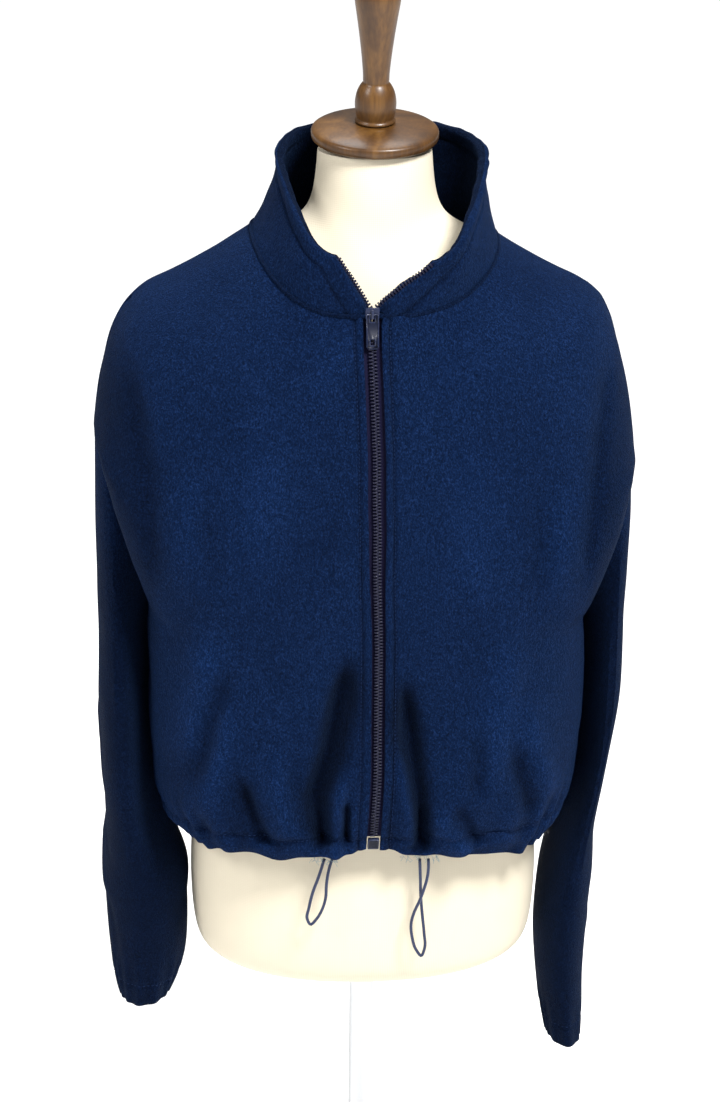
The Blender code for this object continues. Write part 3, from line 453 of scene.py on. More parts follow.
def routeDistance(across, down, route):
    # nearest distance to a route, the side it lies on, and the share of the route's length
    route = np.array(route, float)
    lengths = np.linalg.norm(np.diff(route, axis=0), axis=1)
    best = np.full(len(across), 9.0)
    side = np.zeros(len(across))
    share = np.zeros(len(across))
    walked = 0.0
    for start, end, length in zip(route[:-1], route[1:], lengths):
        step = (end - start) / length
        along = np.clip((across - start[0]) * step[0] + (down - start[1]) * step[1], 0.0, length)
        offX = across - start[0] - step[0] * along
        offZ = down - start[1] - step[1] * along
        gap = np.hypot(offX, offZ)
        nearer = gap < best
        best = np.where(nearer, gap, best)
        side = np.where(nearer, np.sign(offX * step[1] - offZ * step[0]), side)
        share = np.where(nearer, (walked + along) / lengths.sum(), share)
        walked += length
    return best, side, share


def creaseHeight(across, down, creases):
    # each crease: height, soft width on either side, fade at each end, route
    height = np.zeros(len(across))
    for rise, leftWidth, rightWidth, startFade, endFade, route in creases:
        gap, side, share = routeDistance(across, down, route)
        width = np.where(side < 0, leftWidth, rightWidth)
        fade = np.clip(share / max(startFade, 1e-6), 0, 1) * np.clip((1 - share) / max(endFade, 1e-6), 0, 1)
        fade = fade * fade * (3 - 2 * fade)
        height += rise * fade * np.exp(-((gap / width) ** 2))
    return height


def looseNoise(points, size, seed):
    shifted = points / size
    out = np.empty(len(points))
    offset = Vector((seed * 7.31, seed * 3.17, seed * 5.73))
    for index, point in enumerate(shifted):
        out[index] = noise.noise(Vector(point) + offset)
    return out


def edgeSamples(node, spacing=0.002):
    # points along a solid's hard edges
    shape = bmesh.new()
    shape.from_mesh(nodes[node].data)
    bmesh.ops.remove_doubles(shape, verts=shape.verts, dist=0.00002)
    found = []
    for edge in shape.edges:
        if len(edge.link_faces) == 2 and edge.calc_face_angle(0.0) > math.radians(50):
            start, end = edge.verts[0].co, edge.verts[1].co
            steps = max(int((end - start).length / spacing), 1)
            found += [start.lerp(end, (index + 0.5) / steps) for index in range(steps)]
    shape.free()
    return np.array([tuple(point) for point in found])


def nearestGap(points, targets):
    # distance from each point to the nearest target, and that target
    tree = kdtree.KDTree(len(targets))
    for index, target in enumerate(targets):
        tree.insert(target, index)
    tree.balance()
    gaps = np.empty(len(points))
    nearest = np.empty((len(points), 3))
    for index, point in enumerate(points):
        place, number, gap = tree.find(point)
        gaps[index] = gap
        nearest[index] = place
    return gaps, nearest


def softStep(value, start, end):
    share = np.clip((value - start) / (end - start), 0, 1)
    return share * share * (3 - 2 * share)


seamMates = {
    "front_left": ("back", "sleeve_left", "collar"),
    "front_right": ("back", "sleeve_right", "collar"),
    "back": ("front_left", "front_right", "sleeve_left", "sleeve_right", "collar"),
    "sleeve_left": ("front_left", "back"),
    "sleeve_right": ("front_right", "back"),
    "collar": ("front_left", "front_right", "back"),
}
edgesOf = {node: edgeSamples(node, 0.003) for node in seamMates}


def closeSeams(points, node):
    # both sides of a seam are drawn to the line halfway between their edges
    mates = np.concatenate([edgesOf[mate] for mate in seamMates[node]])
    gaps, nearest = nearestGap(points, mates)
    own, unused = nearestGap(points, edgesOf[node])
    share = (1 - softStep(gaps, 0.0032, 0.0075)) * (1 - softStep(own, 0.0012, 0.0045))
    return points + (nearest - points) * (0.55 * share)[:, None]


def bodyOutward(points):
    outward = np.stack([points[:, 0] * 0.34, points[:, 1] + 0.004, np.zeros(len(points))], axis=1)
    return outward / np.maximum(np.linalg.norm(outward, axis=1, keepdims=True), 1e-9)


# the zip's middle line, read from the chain's solid

def chainLine():
    points = np.array([tuple(vertex.co) for vertex in nodes["zip_chain"].data.vertices])
    order = np.argsort(points[:, 2])
    points = points[order]
    rows = []
    group = [points[0]]
    for point in points[1:]:
        if point[2] - group[0][2] > 0.0045:
            rows.append(np.mean(group, axis=0))
            group = []
        group.append(point)
    rows.append(np.mean(group, axis=0))
    return np.array(rows)


zipLine = chainLine()


def zipMiddle(height):
    return np.stack([
        np.interp(height, zipLine[:, 2], zipLine[:, 0]),
        np.interp(height, zipLine[:, 2], zipLine[:, 1]),
    ], axis=-1)


frontSettings = {
    "placketStitch": 0.0145,
    "placketHeights": (0.490, 0.958),
    "stitchWidth": 0.0013,
    "stitchDepth": 0.0016,
    # painted shade in the stitch groove
    "stitchShade": 0.50,
    # the cloth lies flat nearer to the zip than this
    "calmFrom": 0.0135,
    "calmWidth": 0.0090,
    "puff": 0.0011,
    "puffIn": 0.0042,
    "puffWidth": 0.0030,
    # painted shade beside the zip edge
    "edgeShade": 0.35,
    "edgeReach": (0.0060, 0.0100),
    "foldIn": 0.0022,
    "foldReach": (0.0085, 0.020),
    "foldHeights": (0.690, 0.800),
    # height, and the distance from the middle where the body turns to the side
    "sideLine": [(0.700, 0.181), (0.755, 0.184), (0.824, 0.190), (0.887, 0.199), (0.930, 0.206)],
    # painted shade on the body's sides beyond the side line
    "sideShade": 0.42,
    "sideEdge": (-0.006, 0.010),
    "sideWindow": (0.600, 0.700, 0.880, 0.960),
    # rise, left width, right width, fade in, fade out, route as (x, height)
    "leftCreases": [
        (-0.0042, 0.010, 0.006, 0.25, 0.3, [
            (-0.206, 0.935), (-0.200, 0.887), (-0.190, 0.824), (-0.186, 0.760), (-0.180, 0.705)]),
        (0.0030, 0.010, 0.014, 0.3, 0.4, [(-0.020, 0.955), (-0.038, 0.918), (-0.052, 0.880)]),
        (-0.0150, 0.016, 0.008, 0.30, 0.05, [
            (-0.0165, 0.685), (-0.033, 0.626), (-0.040, 0.586), (-0.0525, 0.546), (-0.0465, 0.514), (-0.039, 0.494)]),
        (0.0095, 0.006, 0.007, 0.35, 0.05, [
            (-0.027, 0.580), (-0.028, 0.562), (-0.0325, 0.535), (-0.0315, 0.510), (-0.030, 0.486)]),
        (-0.0075, 0.0028, 0.0030, 0.3, 0.2, [(-0.0235, 0.548), (-0.0240, 0.528), (-0.0235, 0.502)]),
        (0.0050, 0.012, 0.016, 0.3, 0.3, [
            (-0.130, 0.705), (-0.140, 0.665), (-0.150, 0.632), (-0.157, 0.600), (-0.170, 0.557)]),
        (-0.0052, 0.008, 0.008, 0.3, 0.3, [(-0.118, 0.672), (-0.136, 0.620), (-0.146, 0.580), (-0.160, 0.536)]),
        (0.0050, 0.009, 0.012, 0.3, 0.2, [
            (-0.124, 0.645), (-0.127, 0.597), (-0.132, 0.568), (-0.144, 0.539), (-0.155, 0.508)]),
        (-0.0085, 0.007, 0.010, 0.4, 0.05, [(-0.118, 0.572), (-0.106, 0.534), (-0.092, 0.498)]),
        (0.0040, 0.010, 0.014, 0.4, 0.1, [(-0.088, 0.600), (-0.080, 0.550), (-0.072, 0.505)]),
        (-0.0030, 0.008, 0.008, 0.4, 0.1, [(-0.070, 0.590), (-0.066, 0.545), (-0.060, 0.510)]),
        (0.0022, 0.012, 0.016, 0.4, 0.4, [(-0.150, 0.850), (-0.154, 0.790), (-0.150, 0.720)]),
        (-0.0020, 0.009, 0.010, 0.4, 0.4, [(-0.136, 0.850), (-0.139, 0.780), (-0.134, 0.710)]),
        (0.0026, 0.020, 0.020, 0.4, 0.4, [(-0.090, 0.900), (-0.098, 0.800), (-0.100, 0.700)]),
    ],
    "rightCreases": [
        (-0.0042, 0.006, 0.010, 0.25, 0.3, [
            (0.202, 0.935), (0.195, 0.887), (0.187, 0.824), (0.181, 0.760), (0.176, 0.705)]),
        (-0.0135, 0.008, 0.015, 0.30, 0.05, [
            (0.0235, 0.665), (0.025, 0.650), (0.027, 0.640), (0.034, 0.590), (0.040, 0.546), (0.044, 0.490)]),
        (-0.0080, 0.0040, 0.0045, 0.3, 0.05, [(0.0430, 0.540), (0.0440, 0.518), (0.0440, 0.488)]),
        (0.0085, 0.007, 0.006, 0.4, 0.1, [(0.0175, 0.600), (0.026, 0.555), (0.0335, 0.512), (0.034, 0.492)]),
        (0.0070, 0.007, 0.008, 0.3, 0.1, [(0.0530, 0.535), (0.062, 0.512), (0.074, 0.498), (0.084, 0.488)]),
        (-0.0050, 0.006, 0.007, 0.3, 0.05, [(0.072, 0.540), (0.080, 0.520), (0.092, 0.496)]),
        (0.0042, 0.014, 0.016, 0.4, 0.3, [
            (0.107, 0.715), (0.112, 0.657), (0.107, 0.616), (0.102, 0.584), (0.099, 0.530)]),
        (-0.0055, 0.007, 0.009, 0.4, 0.3, [(0.090, 0.610), (0.092, 0.570), (0.088, 0.535)]),
        (0.0042, 0.010, 0.012, 0.4, 0.2, [(0.126, 0.640), (0.139, 0.585), (0.152, 0.550), (0.165, 0.521)]),
        (-0.0058, 0.008, 0.009, 0.4, 0.2, [(0.118, 0.600), (0.128, 0.560), (0.140, 0.515)]),
        (0.0024, 0.014, 0.014, 0.4, 0.4, [(0.150, 0.830), (0.154, 0.770), (0.150, 0.700)]),
        (-0.0022, 0.010, 0.010, 0.4, 0.4, [(0.134, 0.840), (0.138, 0.770), (0.134, 0.700)]),
        (0.0024, 0.022, 0.022, 0.4, 0.4, [(0.080, 0.880), (0.086, 0.790), (0.078, 0.690)]),
    ],
}

backSettings = {
    "meshShare": 0.90,
    "creases": [
        (0.0030, 0.012, 0.018, 0.3, 0.2, [(-0.120, 0.720), (-0.130, 0.650), (-0.138, 0.580), (-0.130, 0.520)]),
        (-0.0030, 0.008, 0.010, 0.3, 0.2, [(-0.085, 0.640), (-0.095, 0.580), (-0.092, 0.520)]),
        (0.0028, 0.014, 0.010, 0.3, 0.2, [(-0.040, 0.680), (-0.048, 0.610), (-0.040, 0.530)]),
        (-0.0030, 0.008, 0.012, 0.3, 0.1, [(0.010, 0.640), (0.004, 0.580), (0.012, 0.510)]),
        (0.0030, 0.012, 0.014, 0.3, 0.2, [(0.060, 0.700), (0.066, 0.620), (0.058, 0.540)]),
        (-0.0028, 0.008, 0.010, 0.3, 0.1, [(0.100, 0.650), (0.094, 0.580), (0.102, 0.515)]),
        (0.0030, 0.014, 0.010, 0.3, 0.2, [(0.140, 0.700), (0.146, 0.620), (0.136, 0.540)]),
        (0.0018, 0.014, 0.018, 0.3, 0.3, [(-0.150, 0.860), (-0.140, 0.780), (-0.146, 0.710)]),
        (0.0018, 0.014, 0.018, 0.3, 0.3, [(0.150, 0.850), (0.142, 0.770), (0.148, 0.700)]),
    ],
}

hemSettings = {"top": 0.5060, "gather": 0.0031, "spacing": 0.0210, "puff": 0.0024}


def hemGather(points, settings):
    # the casing's small gathers, fading upwards over a few centimetres
    around = np.arctan2(points[:, 0] * 0.62, -points[:, 1]) * 0.165
    waves = np.sin(around * (2 * math.pi / settings["spacing"]) + 2.6 * np.sin(around * 37.0))
    waves = waves * (0.62 + 0.38 * np.sin(around * 53.0 + 1.3))
    height = points[:, 2] - settings["top"]
    fade = np.where(height > 0, np.exp(-((height / 0.026) ** 2)), 1.0)
    casing = np.exp(-(((points[:, 2] - settings["top"] + 0.0120) / 0.0075) ** 2))
    return settings["gather"] * waves * fade + settings["puff"] * casing


panelSettings = {
    # crease depth that gives the full painted shade or painted highlight, and painted shade along the hem
    "lightDepth": 0.0110,
    "hemShade": 0.25,
    "hemShadeWidth": 0.0022,
    "hemDepth": 0.0018,
    "hemWidth": 0.0018,
    # rise, size and seed of the loose unevenness
    "loose": [(0.0016, 0.055, 0.0), (0.0007, 0.020, 9.0)],
    "sag": 0.0013,
    "sagBelow": 0.012,
    "sagAbove": 0.020,
}


def shapePlacket(points, rise, light, settings):
    # flat beside the zip, a stitched groove, and the edge folded in over the tape; painted shade in the stitch
    # groove, beside the zip edge and on the body's sides
    middle = zipMiddle(points[:, 2])
    off = np.abs(points[:, 0] - middle[:, 0])
    fromStitch = off - settings["placketStitch"]
    rise *= softStep(off - settings["calmFrom"], 0.0, settings["calmWidth"])
    stitch = np.exp(-((fromStitch / settings["stitchWidth"]) ** 2))
    rise -= settings["stitchDepth"] * stitch
    rise += settings["puff"] * np.exp(-(((fromStitch + settings["puffIn"]) / settings["puffWidth"]) ** 2))
    line = np.array(settings["sideLine"])
    beyond = np.abs(points[:, 0]) - np.interp(points[:, 2], line[:, 0], line[:, 1])
    window = settings["sideWindow"]
    within = softStep(points[:, 2], *window[:2]) * (1 - softStep(points[:, 2], *window[2:]))
    # painted shade on the body's sides beyond the side line, in the stitch groove and beside the zip edge
    light *= 1 - settings["sideShade"] * softStep(beyond, *settings["sideEdge"]) * within
    light *= 1 - settings["stitchShade"] * stitch
    light *= 1 - settings["edgeShade"] * (1 - softStep(off, *settings["edgeReach"]))
    towards = -np.sign(points[:, 0] - middle[:, 0])
    lower = 1 - softStep(points[:, 2], *settings["foldHeights"])
    near = 1 - softStep(off, *settings["foldReach"])
    points[:, 0] += towards * settings["foldIn"] * near * (0.25 + 0.75 * lower)


def shapePanel(piece, node, creases, settings, seed):
    points = readPoints(piece)
    rise = creaseHeight(points[:, 0], points[:, 2], creases)
    gathers = hemGather(points, hemSettings)
    depth = settings["lightDepth"]
    # painted shade in the troughs of creases and gathers, painted highlight on their ridges
    light = 1.0 + np.clip(rise / depth, -0.72, 0.38) + np.clip(gathers / depth, -0.4, 0.2)
    fromHem = points[:, 2] - hemSettings["top"]
    # painted shade along the hem stitch line
    light *= 1 - settings["hemShade"] * np.exp(-((fromHem / settings["hemShadeWidth"]) ** 2))
    rise += gathers
    for height, grain, shift in settings["loose"]:
        rise += height * looseNoise(points, grain, seed + shift)
    if node != "back":
        shapePlacket(points, rise, light, frontSettings)
    rise -= settings["hemDepth"] * np.exp(-((fromHem / settings["hemWidth"]) ** 2))
    low = 1 - softStep(fromHem, -settings["sagBelow"], settings["sagAbove"])
    sag = np.sin(points[:, 0] * 118.0 + seed) + 0.7 * np.sin(points[:, 0] * 203.0 + 2.0 * seed)
    points[:, 2] += settings["sag"] * sag * low
    points = points + bodyOutward(points) * rise[:, None]
    paintShade(piece, light)
    writePoints(piece, closeSeams(points, node))


def finishCloth(piece, node):
    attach(piece, "jacket_on_form")
    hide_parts(node)


clothLevels = 3

clothBevel = 0.0011
clothPieces = {}
for node, creases, seed, flat, area in (
        ("front_left", frontSettings["leftCreases"], 1.0, (0.30, 0.56), 0.142),
        ("front_right", frontSettings["rightCreases"], 2.0, (0.30, 0.56), 0.142),
        ("back", backSettings["creases"], 3.0, (0.60, 0.58), 0.295)):
    piece = softCopy(node, "fleece_" + node, fleece, clothBevel, clothLevels)
    if node == "back":
        thinMesh(piece, backSettings["meshShare"])
    shapePanel(piece, node, creases, panelSettings, seed)
    finishCloth(piece, node)
    clothPieces[node] = piece
print("body panels shaped")


# sleeves: creases on (distance round from the outer line, height)

sleeveSettings = {
    # how much fuller on the side next to the body: height, left, right
    "fuller": [
        (0.400, 0.003, 0.000), (0.440, 0.010, 0.002), (0.480, 0.018, 0.007), (0.520, 0.016, 0.010),
        (0.570, 0.011, 0.010), (0.640, 0.009, 0.009), (0.740, 0.005, 0.005), (0.800, 0.000, 0.000),
    ],
    # painted shade over the whole sleeve and on its side next to the body, painted highlight towards the shoulder
    "pileToneAndSleeveShade": 0.46,
    "lightDepth": 0.0090,
    "innerShade": 0.35,
    "shoulderLight": 0.35,
    "shoulder": (0.700, 0.820),
    "girth": 0.048,
    "cuffGirth": 0.040,
    "cuffTop": 0.022,
    "gather": 0.0010,
    "gatherSpacing": 0.0115,
    "gatherFade": 0.020,
    "grooveDepth": 0.0009,
    "grooveWidth": 0.0017,
    "loose": 0.0012,
    "looseSize": 0.050,
    "left": [
        (-0.0024, 0.008, 0.010, 0.3, 0.3, [(0.020, 0.760), (0.034, 0.700), (0.040, 0.640)]),
        (0.0022, 0.010, 0.012, 0.3, 0.3, [(0.046, 0.720), (0.052, 0.640), (0.050, 0.560)]),
        (-0.0020, 0.009, 0.008, 0.3, 0.3, [(-0.030, 0.700), (-0.044, 0.620), (-0.040, 0.540)]),
        (0.0022, 0.010, 0.008, 0.3, 0.3, [(0.010, 0.600), (0.030, 0.540), (0.060, 0.500)]),
        (-0.0022, 0.007, 0.009, 0.3, 0.3, [(0.000, 0.520), (0.024, 0.470), (0.060, 0.440)]),
        (0.0026, 0.010, 0.009, 0.3, 0.3, [(-0.020, 0.480), (0.010, 0.430), (0.050, 0.400)]),
        (-0.0020, 0.007, 0.007, 0.3, 0.2, [(0.030, 0.420), (0.044, 0.370), (0.040, 0.335)]),
    ],
    "right": [
        (-0.0022, 0.008, 0.010, 0.3, 0.3, [(0.018, 0.740), (0.030, 0.690), (0.036, 0.620)]),
        (0.0020, 0.010, 0.012, 0.3, 0.3, [(0.046, 0.700), (0.050, 0.620), (0.048, 0.540)]),
        (-0.0020, 0.009, 0.008, 0.3, 0.3, [(-0.030, 0.690), (-0.040, 0.600), (-0.036, 0.520)]),
        (0.0022, 0.010, 0.008, 0.3, 0.3, [(0.010, 0.560), (0.030, 0.500), (0.052, 0.460)]),
        (-0.0020, 0.007, 0.009, 0.3, 0.3, [(0.000, 0.480), (0.026, 0.430), (0.056, 0.400)]),
        (0.0022, 0.009, 0.009, 0.3, 0.3, [(-0.020, 0.430), (0.010, 0.380), (0.040, 0.350)]),
        (-0.0018, 0.006, 0.007, 0.3, 0.2, [(0.024, 0.360), (0.036, 0.320), (0.030, 0.290)]),
    ],
}


def shapeSleeve(piece, side, creases, settings, seed):
    points = readPoints(piece)
    low = points[:, 2].min()
    heights = np.linspace(low, points[:, 2].max(), 46)
    middles = []
    for height in heights:
        near = points[np.abs(points[:, 2] - height) < 0.012]
        middles.append((near.min(axis=0) + near.max(axis=0)) / 2 if len(near) else middles[-1])
    middles = np.array(middles)
    centreX = np.interp(points[:, 2], heights, middles[:, 0])
    centreY = np.interp(points[:, 2], heights, middles[:, 1])
    offX = (points[:, 0] - centreX) * side
    offY = points[:, 1] - centreY
    around = np.arctan2(-offY, offX)
    rise = creaseHeight(around * settings["girth"], points[:, 2], creases)
    turns = settings["cuffGirth"] * (2 * math.pi / settings["gatherSpacing"])
    waves = np.sin(around * turns + 1.7 * np.sin(around * 3.0 + seed))
    above = points[:, 2] - low - settings["cuffTop"]
    fade = np.where(above > 0, np.exp(-((above / settings["gatherFade"]) ** 2)), 1.0)
    rise += settings["gather"] * waves * fade
    rise -= settings["grooveDepth"] * np.exp(-((above / settings["grooveWidth"]) ** 2))
    rise += settings["loose"] * looseNoise(points, settings["looseSize"], seed)
    table = np.array(settings["fuller"])
    fuller = np.interp(points[:, 2], table[:, 0], table[:, 1 if side < 0 else 2])
    inner = np.clip(-np.cos(around), 0, 1)
    rise += fuller * inner
    outward = np.stack([offX * side, offY, np.zeros(len(points))], axis=1)
    outward /= np.maximum(np.linalg.norm(outward, axis=1, keepdims=True), 0.012)
    # painted shade over the whole sleeve, deeper in troughs and on the side next to the body; painted highlight on
    # ridges and towards the shoulder
    light = settings["pileToneAndSleeveShade"] * (1.0 + np.clip(rise / settings["lightDepth"], -0.45, 0.30))
    light = light * (1 - settings["innerShade"] * inner)
    light += settings["shoulderLight"] * softStep(points[:, 2], *settings["shoulder"])
    points = points + outward * rise[:, None]
    paintShade(piece, light)
    writePoints(piece, closeSeams(points, "sleeve_left" if side < 0 else "sleeve_right"))


for node, side, creases, seed, flat, area in (
        ("sleeve_left", -1, sleeveSettings["left"], 4.0, (0.47, 0.56), 0.146),
        ("sleeve_right", 1, sleeveSettings["right"], 5.0, (0.47, 0.59), 0.148)):
    piece = softCopy(node, "fleece_" + node, fleece, clothBevel, clothLevels)
    shapeSleeve(piece, side, creases, sleeveSettings, seed)
    finishCloth(piece, node)
    clothPieces[node] = piece
print("sleeves shaped")


# stand collar, a soft double layer

collarSettings = {
    "roll": 0.0022,
    "rollWidth": 0.0060,
    "stitchAt": 0.0105,
    "stitchWidth": 0.0015,
    "stitchDepth": 0.0014,
    # painted shade in the stitch groove
    "stitchShade": 0.42,
    "overTape": 0.0052,
    "tapeReach": (0.006, 0.022),
    "tapeStart": (0.0015, 0.0060),
    "creases": 0.0011,
    "seamReach": 0.0060,
    "middle": (0.004, -0.015),
    # painted shade on the collar's inside
    "insideLight": 0.30,
    "outsideLight": 0.92,
}


def shapeCollar(piece, settings):
    points = readPoints(piece)
    edges = edgeSamples("collar")
    neckline = np.concatenate([edgesOf[node] for node in seamMates["collar"]])
    toNeck, unused = nearestGap(edges, neckline)
    seam = edges[toNeck <= settings["seamReach"]]
    fromSeam, unused = nearestGap(edges, seam)
    # edges beside the seam at the back are not part of the opening
    stray = (np.abs(edges[:, 0]) > 0.060) & (fromSeam < 0.020)
    opening = edges[(toNeck > settings["seamReach"]) & ~stray]
    toOpening, unused = nearestGap(points, opening)
    toSeam, unused = nearestGap(points, seam)
    tapes = np.array([point for route in openZip.values() for point in smoothRoute(route, 0.002)])
    toTape, tapePoint = nearestGap(points, tapes)
    towards = tapePoint - points
    towards[:, 1] = 0.0
    towards /= np.maximum(np.linalg.norm(towards, axis=1, keepdims=True), 1e-6)
    cover = (1 - softStep(toTape, *settings["tapeReach"])) * softStep(toTape, *settings["tapeStart"])
    cover = settings["overTape"] * cover
    around = np.arctan2(points[:, 0] - 0.004, -points[:, 1])
    ripple = np.sin(around * 23.0 + 3.0 * np.sin(around * 5.0)) + 0.6 * np.sin(around * 41.0 + points[:, 2] * 160)
    rise = settings["roll"] * np.exp(-((toOpening / settings["rollWidth"]) ** 2))
    rise *= 1.0 + 0.12 * ripple
    stitch = np.exp(-(((toOpening - settings["stitchAt"]) / settings["stitchWidth"]) ** 2))
    # painted shade along the neck seam
    seamDark = np.exp(-((toSeam / 0.0022) ** 2))
    rise -= settings["stitchDepth"] * stitch
    rise += settings["creases"] * looseNoise(points, 0.030, 6.0) + 0.0006 * looseNoise(points, 0.014, 7.0)
    rise -= 0.0008 * np.exp(-((toSeam / 0.0030) ** 2))
    normals = np.empty(len(points) * 3)
    piece.data.vertices.foreach_get("normal", normals)
    normals = normals.reshape(-1, 3)
    inward = np.sum(normals[:, :2] * (points[:, :2] - np.array(settings["middle"])), axis=1)
    # painted shade on the collar's inside, in the stitch groove and along the neck seam
    light = np.where(inward < 0, settings["insideLight"], settings["outsideLight"])
    light = light * (1 - settings["stitchShade"] * stitch) * (1 - 0.25 * seamDark)
    paintShade(piece, light)
    moved = points + normals * rise[:, None] + towards * cover[:, None]
    writePoints(piece, closeSeams(moved, "collar"))


# the zip's inner edges where it stands open, up from the slider
openZip = {
    "left": [(-0.0046, -0.1002, 0.9660), (-0.0106, -0.1004, 0.9753), (-0.0162, -0.1008, 0.9849),
             (-0.0220, -0.1016, 0.9939), (-0.0279, -0.1028, 1.0028), (-0.0334, -0.1027, 1.0120)],
    "right": [(-0.0016, -0.1000, 0.9672), (0.0074, -0.1016, 0.9759), (0.0169, -0.1036, 0.9845),
              (0.0263, -0.1050, 0.9919), (0.0358, -0.1067, 0.9992), (0.0449, -0.1071, 1.0071)],
}

collarPiece = softCopy("collar", "fleece_collar", fleece, 0.0026, clothLevels)
shapeCollar(collarPiece, collarSettings)
finishCloth(collarPiece, "collar")
print("collar shaped")


# the neck seam, closed between collar and body

neckSeam = {"radius": 0.0017, "reach": 0.0045, "steps": 150}


def addNeckSeam(settings):
    collarEdges = edgesOf["collar"]
    bodyEdges = np.concatenate([edgesOf[node] for node in seamMates["collar"]])
    gaps, nearest = nearestGap(collarEdges, bodyEdges)
    close = gaps < settings["reach"]
    both = (collarEdges[close] + nearest[close]) / 2
    turn = np.arctan2(both[:, 0] - 0.004, -(both[:, 1] + 0.015))
    order = np.argsort(turn)
    both, turn = both[order], turn[order]
    line = []
    ends = np.linspace(turn[0], turn[-1], settings["steps"])
    for start, end in zip(ends[:-1], ends[1:]):
        inside = (turn >= start - 0.012) & (turn <= end + 0.012)
        if inside.any():
            group = both[inside]
            line.append((group.min(axis=0) + group.max(axis=0)) / 2)
    line = np.array(line)
    smooth = line.copy()
    smooth[1:-1] = (line[:-2] + line[1:-1] * 2 + line[2:]) / 4
    return smooth


neckLine = addNeckSeam(neckSeam)
nearZip = neckLine[(np.abs(neckLine[:, 0] + 0.0035) < 0.020) & (neckLine[:, 1] < 0)]
# the seam rolls carry painted shade, 0.55 and 0.6 of the fleece colour
for name, line, wide, light in (
        ("neck_seam", neckLine, 1.0, 0.55), ("neck_seam_front", nearZip, 1.6, 0.6)):
    roll = tubeAlong(name, line, neckSeam["radius"] * wide, 8, fleece)
    paintShade(roll, np.full(len(roll.data.vertices), light))
    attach(roll, "jacket_on_form")
print("neck seam closed", len(neckLine), neckLine[0].round(4), neckLine[-1].round(4))


# stitches, and the thread ends under the hem

stitchSettings = {"pitch": 0.0034, "long": 0.0021, "wide": 0.0008, "proud": 0.0004}


def surfaceTree(*pieces):
    corners, faces = [], []
    for piece in pieces:
        first = len(corners)
        corners += [vertex.co.copy() for vertex in piece.data.vertices]
        faces += [[first + corner for corner in face.vertices] for face in piece.data.polygons]
    return BVHTree.FromPolygons(corners, faces)


def landOn(tree, starts, ways, reach):
    line = []
    for start, way in zip(starts, ways):
        place, normal, index, gap = tree.ray_cast(Vector(start), Vector(way), reach)
        if place is not None:
            line.append((place, normal))
    return line


def stitchRow(name, lines, settings):
    corners, faces = [], []
    for line in lines:
        for (place, normal), (after, unused) in zip(line[:-1], line[1:]):
            along = after - place
            if along.length > settings["pitch"] * 2.2 or along.length < 1e-6:
                continue
            along.normalize()
            across = along.cross(normal).normalized()
            first = len(corners)
            for lift, wide in ((-0.0006, 1.0), (settings["proud"], 0.55)):
                for step, side in ((-1, -1), (1, -1), (1, 1), (-1, 1)):
                    corners.append(place + normal * lift + along * (step * settings["long"] / 2 * (0.7 + 0.3 * wide))
                                   + across * (side * settings["wide"] / 2 * wide))
            faces += [[first + index for index in face] for face in (
                (3, 2, 1, 0), (4, 5, 6, 7), (0, 1, 5, 4), (1, 2, 6, 5), (2, 3, 7, 6), (3, 0, 4, 7))]
    mesh = bpy.data.meshes.new(name)
    mesh.from_pydata(corners, [], faces)
    mesh.materials.append(thread)
    made = addObject(name, mesh)
    pickOnly(made)
    bpy.ops.object.mode_set(mode="EDIT")
    bpy.ops.mesh.select_all(action="SELECT")
    bpy.ops.mesh.normals_make_consistent(inside=False)
    bpy.ops.object.mode_set(mode="OBJECT")
    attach(made, "jacket_on_form")


def placketLine(tree, side, settings):
    heights = np.arange(*frontSettings["placketHeights"], settings["pitch"])
    middle = zipMiddle(heights)
    starts = np.stack([middle[:, 0] + side * frontSettings["placketStitch"], middle[:, 1] - 0.05, heights], axis=1)
    return landOn(tree, starts, np.tile((0.0, 1.0, 0.0), (len(starts), 1)), 0.12)


def ringLine(tree, centre, height, reach, settings):
    count = int(2 * math.pi * reach / settings["pitch"])
    turn = np.linspace(0, 2 * math.pi, count + 1)
    starts = np.stack([
        centre[0] + np.cos(turn) * (reach + 0.06), centre[1] + np.sin(turn) * (reach + 0.06),
        np.full(count + 1, height)], axis=1)
    ways = np.array([centre[0], centre[1], height]) - starts
    ways /= np.linalg.norm(ways, axis=1, keepdims=True)
    return landOn(tree, starts, ways, reach + 0.05)


bodyTree = surfaceTree(*(clothPieces[node] for node in ("front_left", "front_right", "back")))
stitchRow("placket_stitches", [placketLine(bodyTree, side, stitchSettings) for side in (-1, 1)], stitchSettings)
hemLine = ringLine(bodyTree, (0.0, 0.01), hemSettings["top"], 0.165, stitchSettings)
stitchRow("hem_stitches", [hemLine], stitchSettings)
for word in ("left", "right"):
    piece = clothPieces["sleeve_" + word]
    points = readPoints(piece)
    low = points[:, 2].min()
    cuff = points[np.abs(points[:, 2] - low - sleeveSettings["cuffTop"]) < 0.004]
    centre = (cuff.min(axis=0) + cuff.max(axis=0)) / 2
    row = ringLine(surfaceTree(piece), centre[:2], low + sleeveSettings["cuffTop"], 0.042, stitchSettings)
    stitchRow("cuff_stitches_" + word, [row], stitchSettings)

threadEnds = {
    "radius": 0.00016, "count": 26, "seed": 11,
    "exits": [(-0.052, -0.030), (0.026, 0.058)],
}


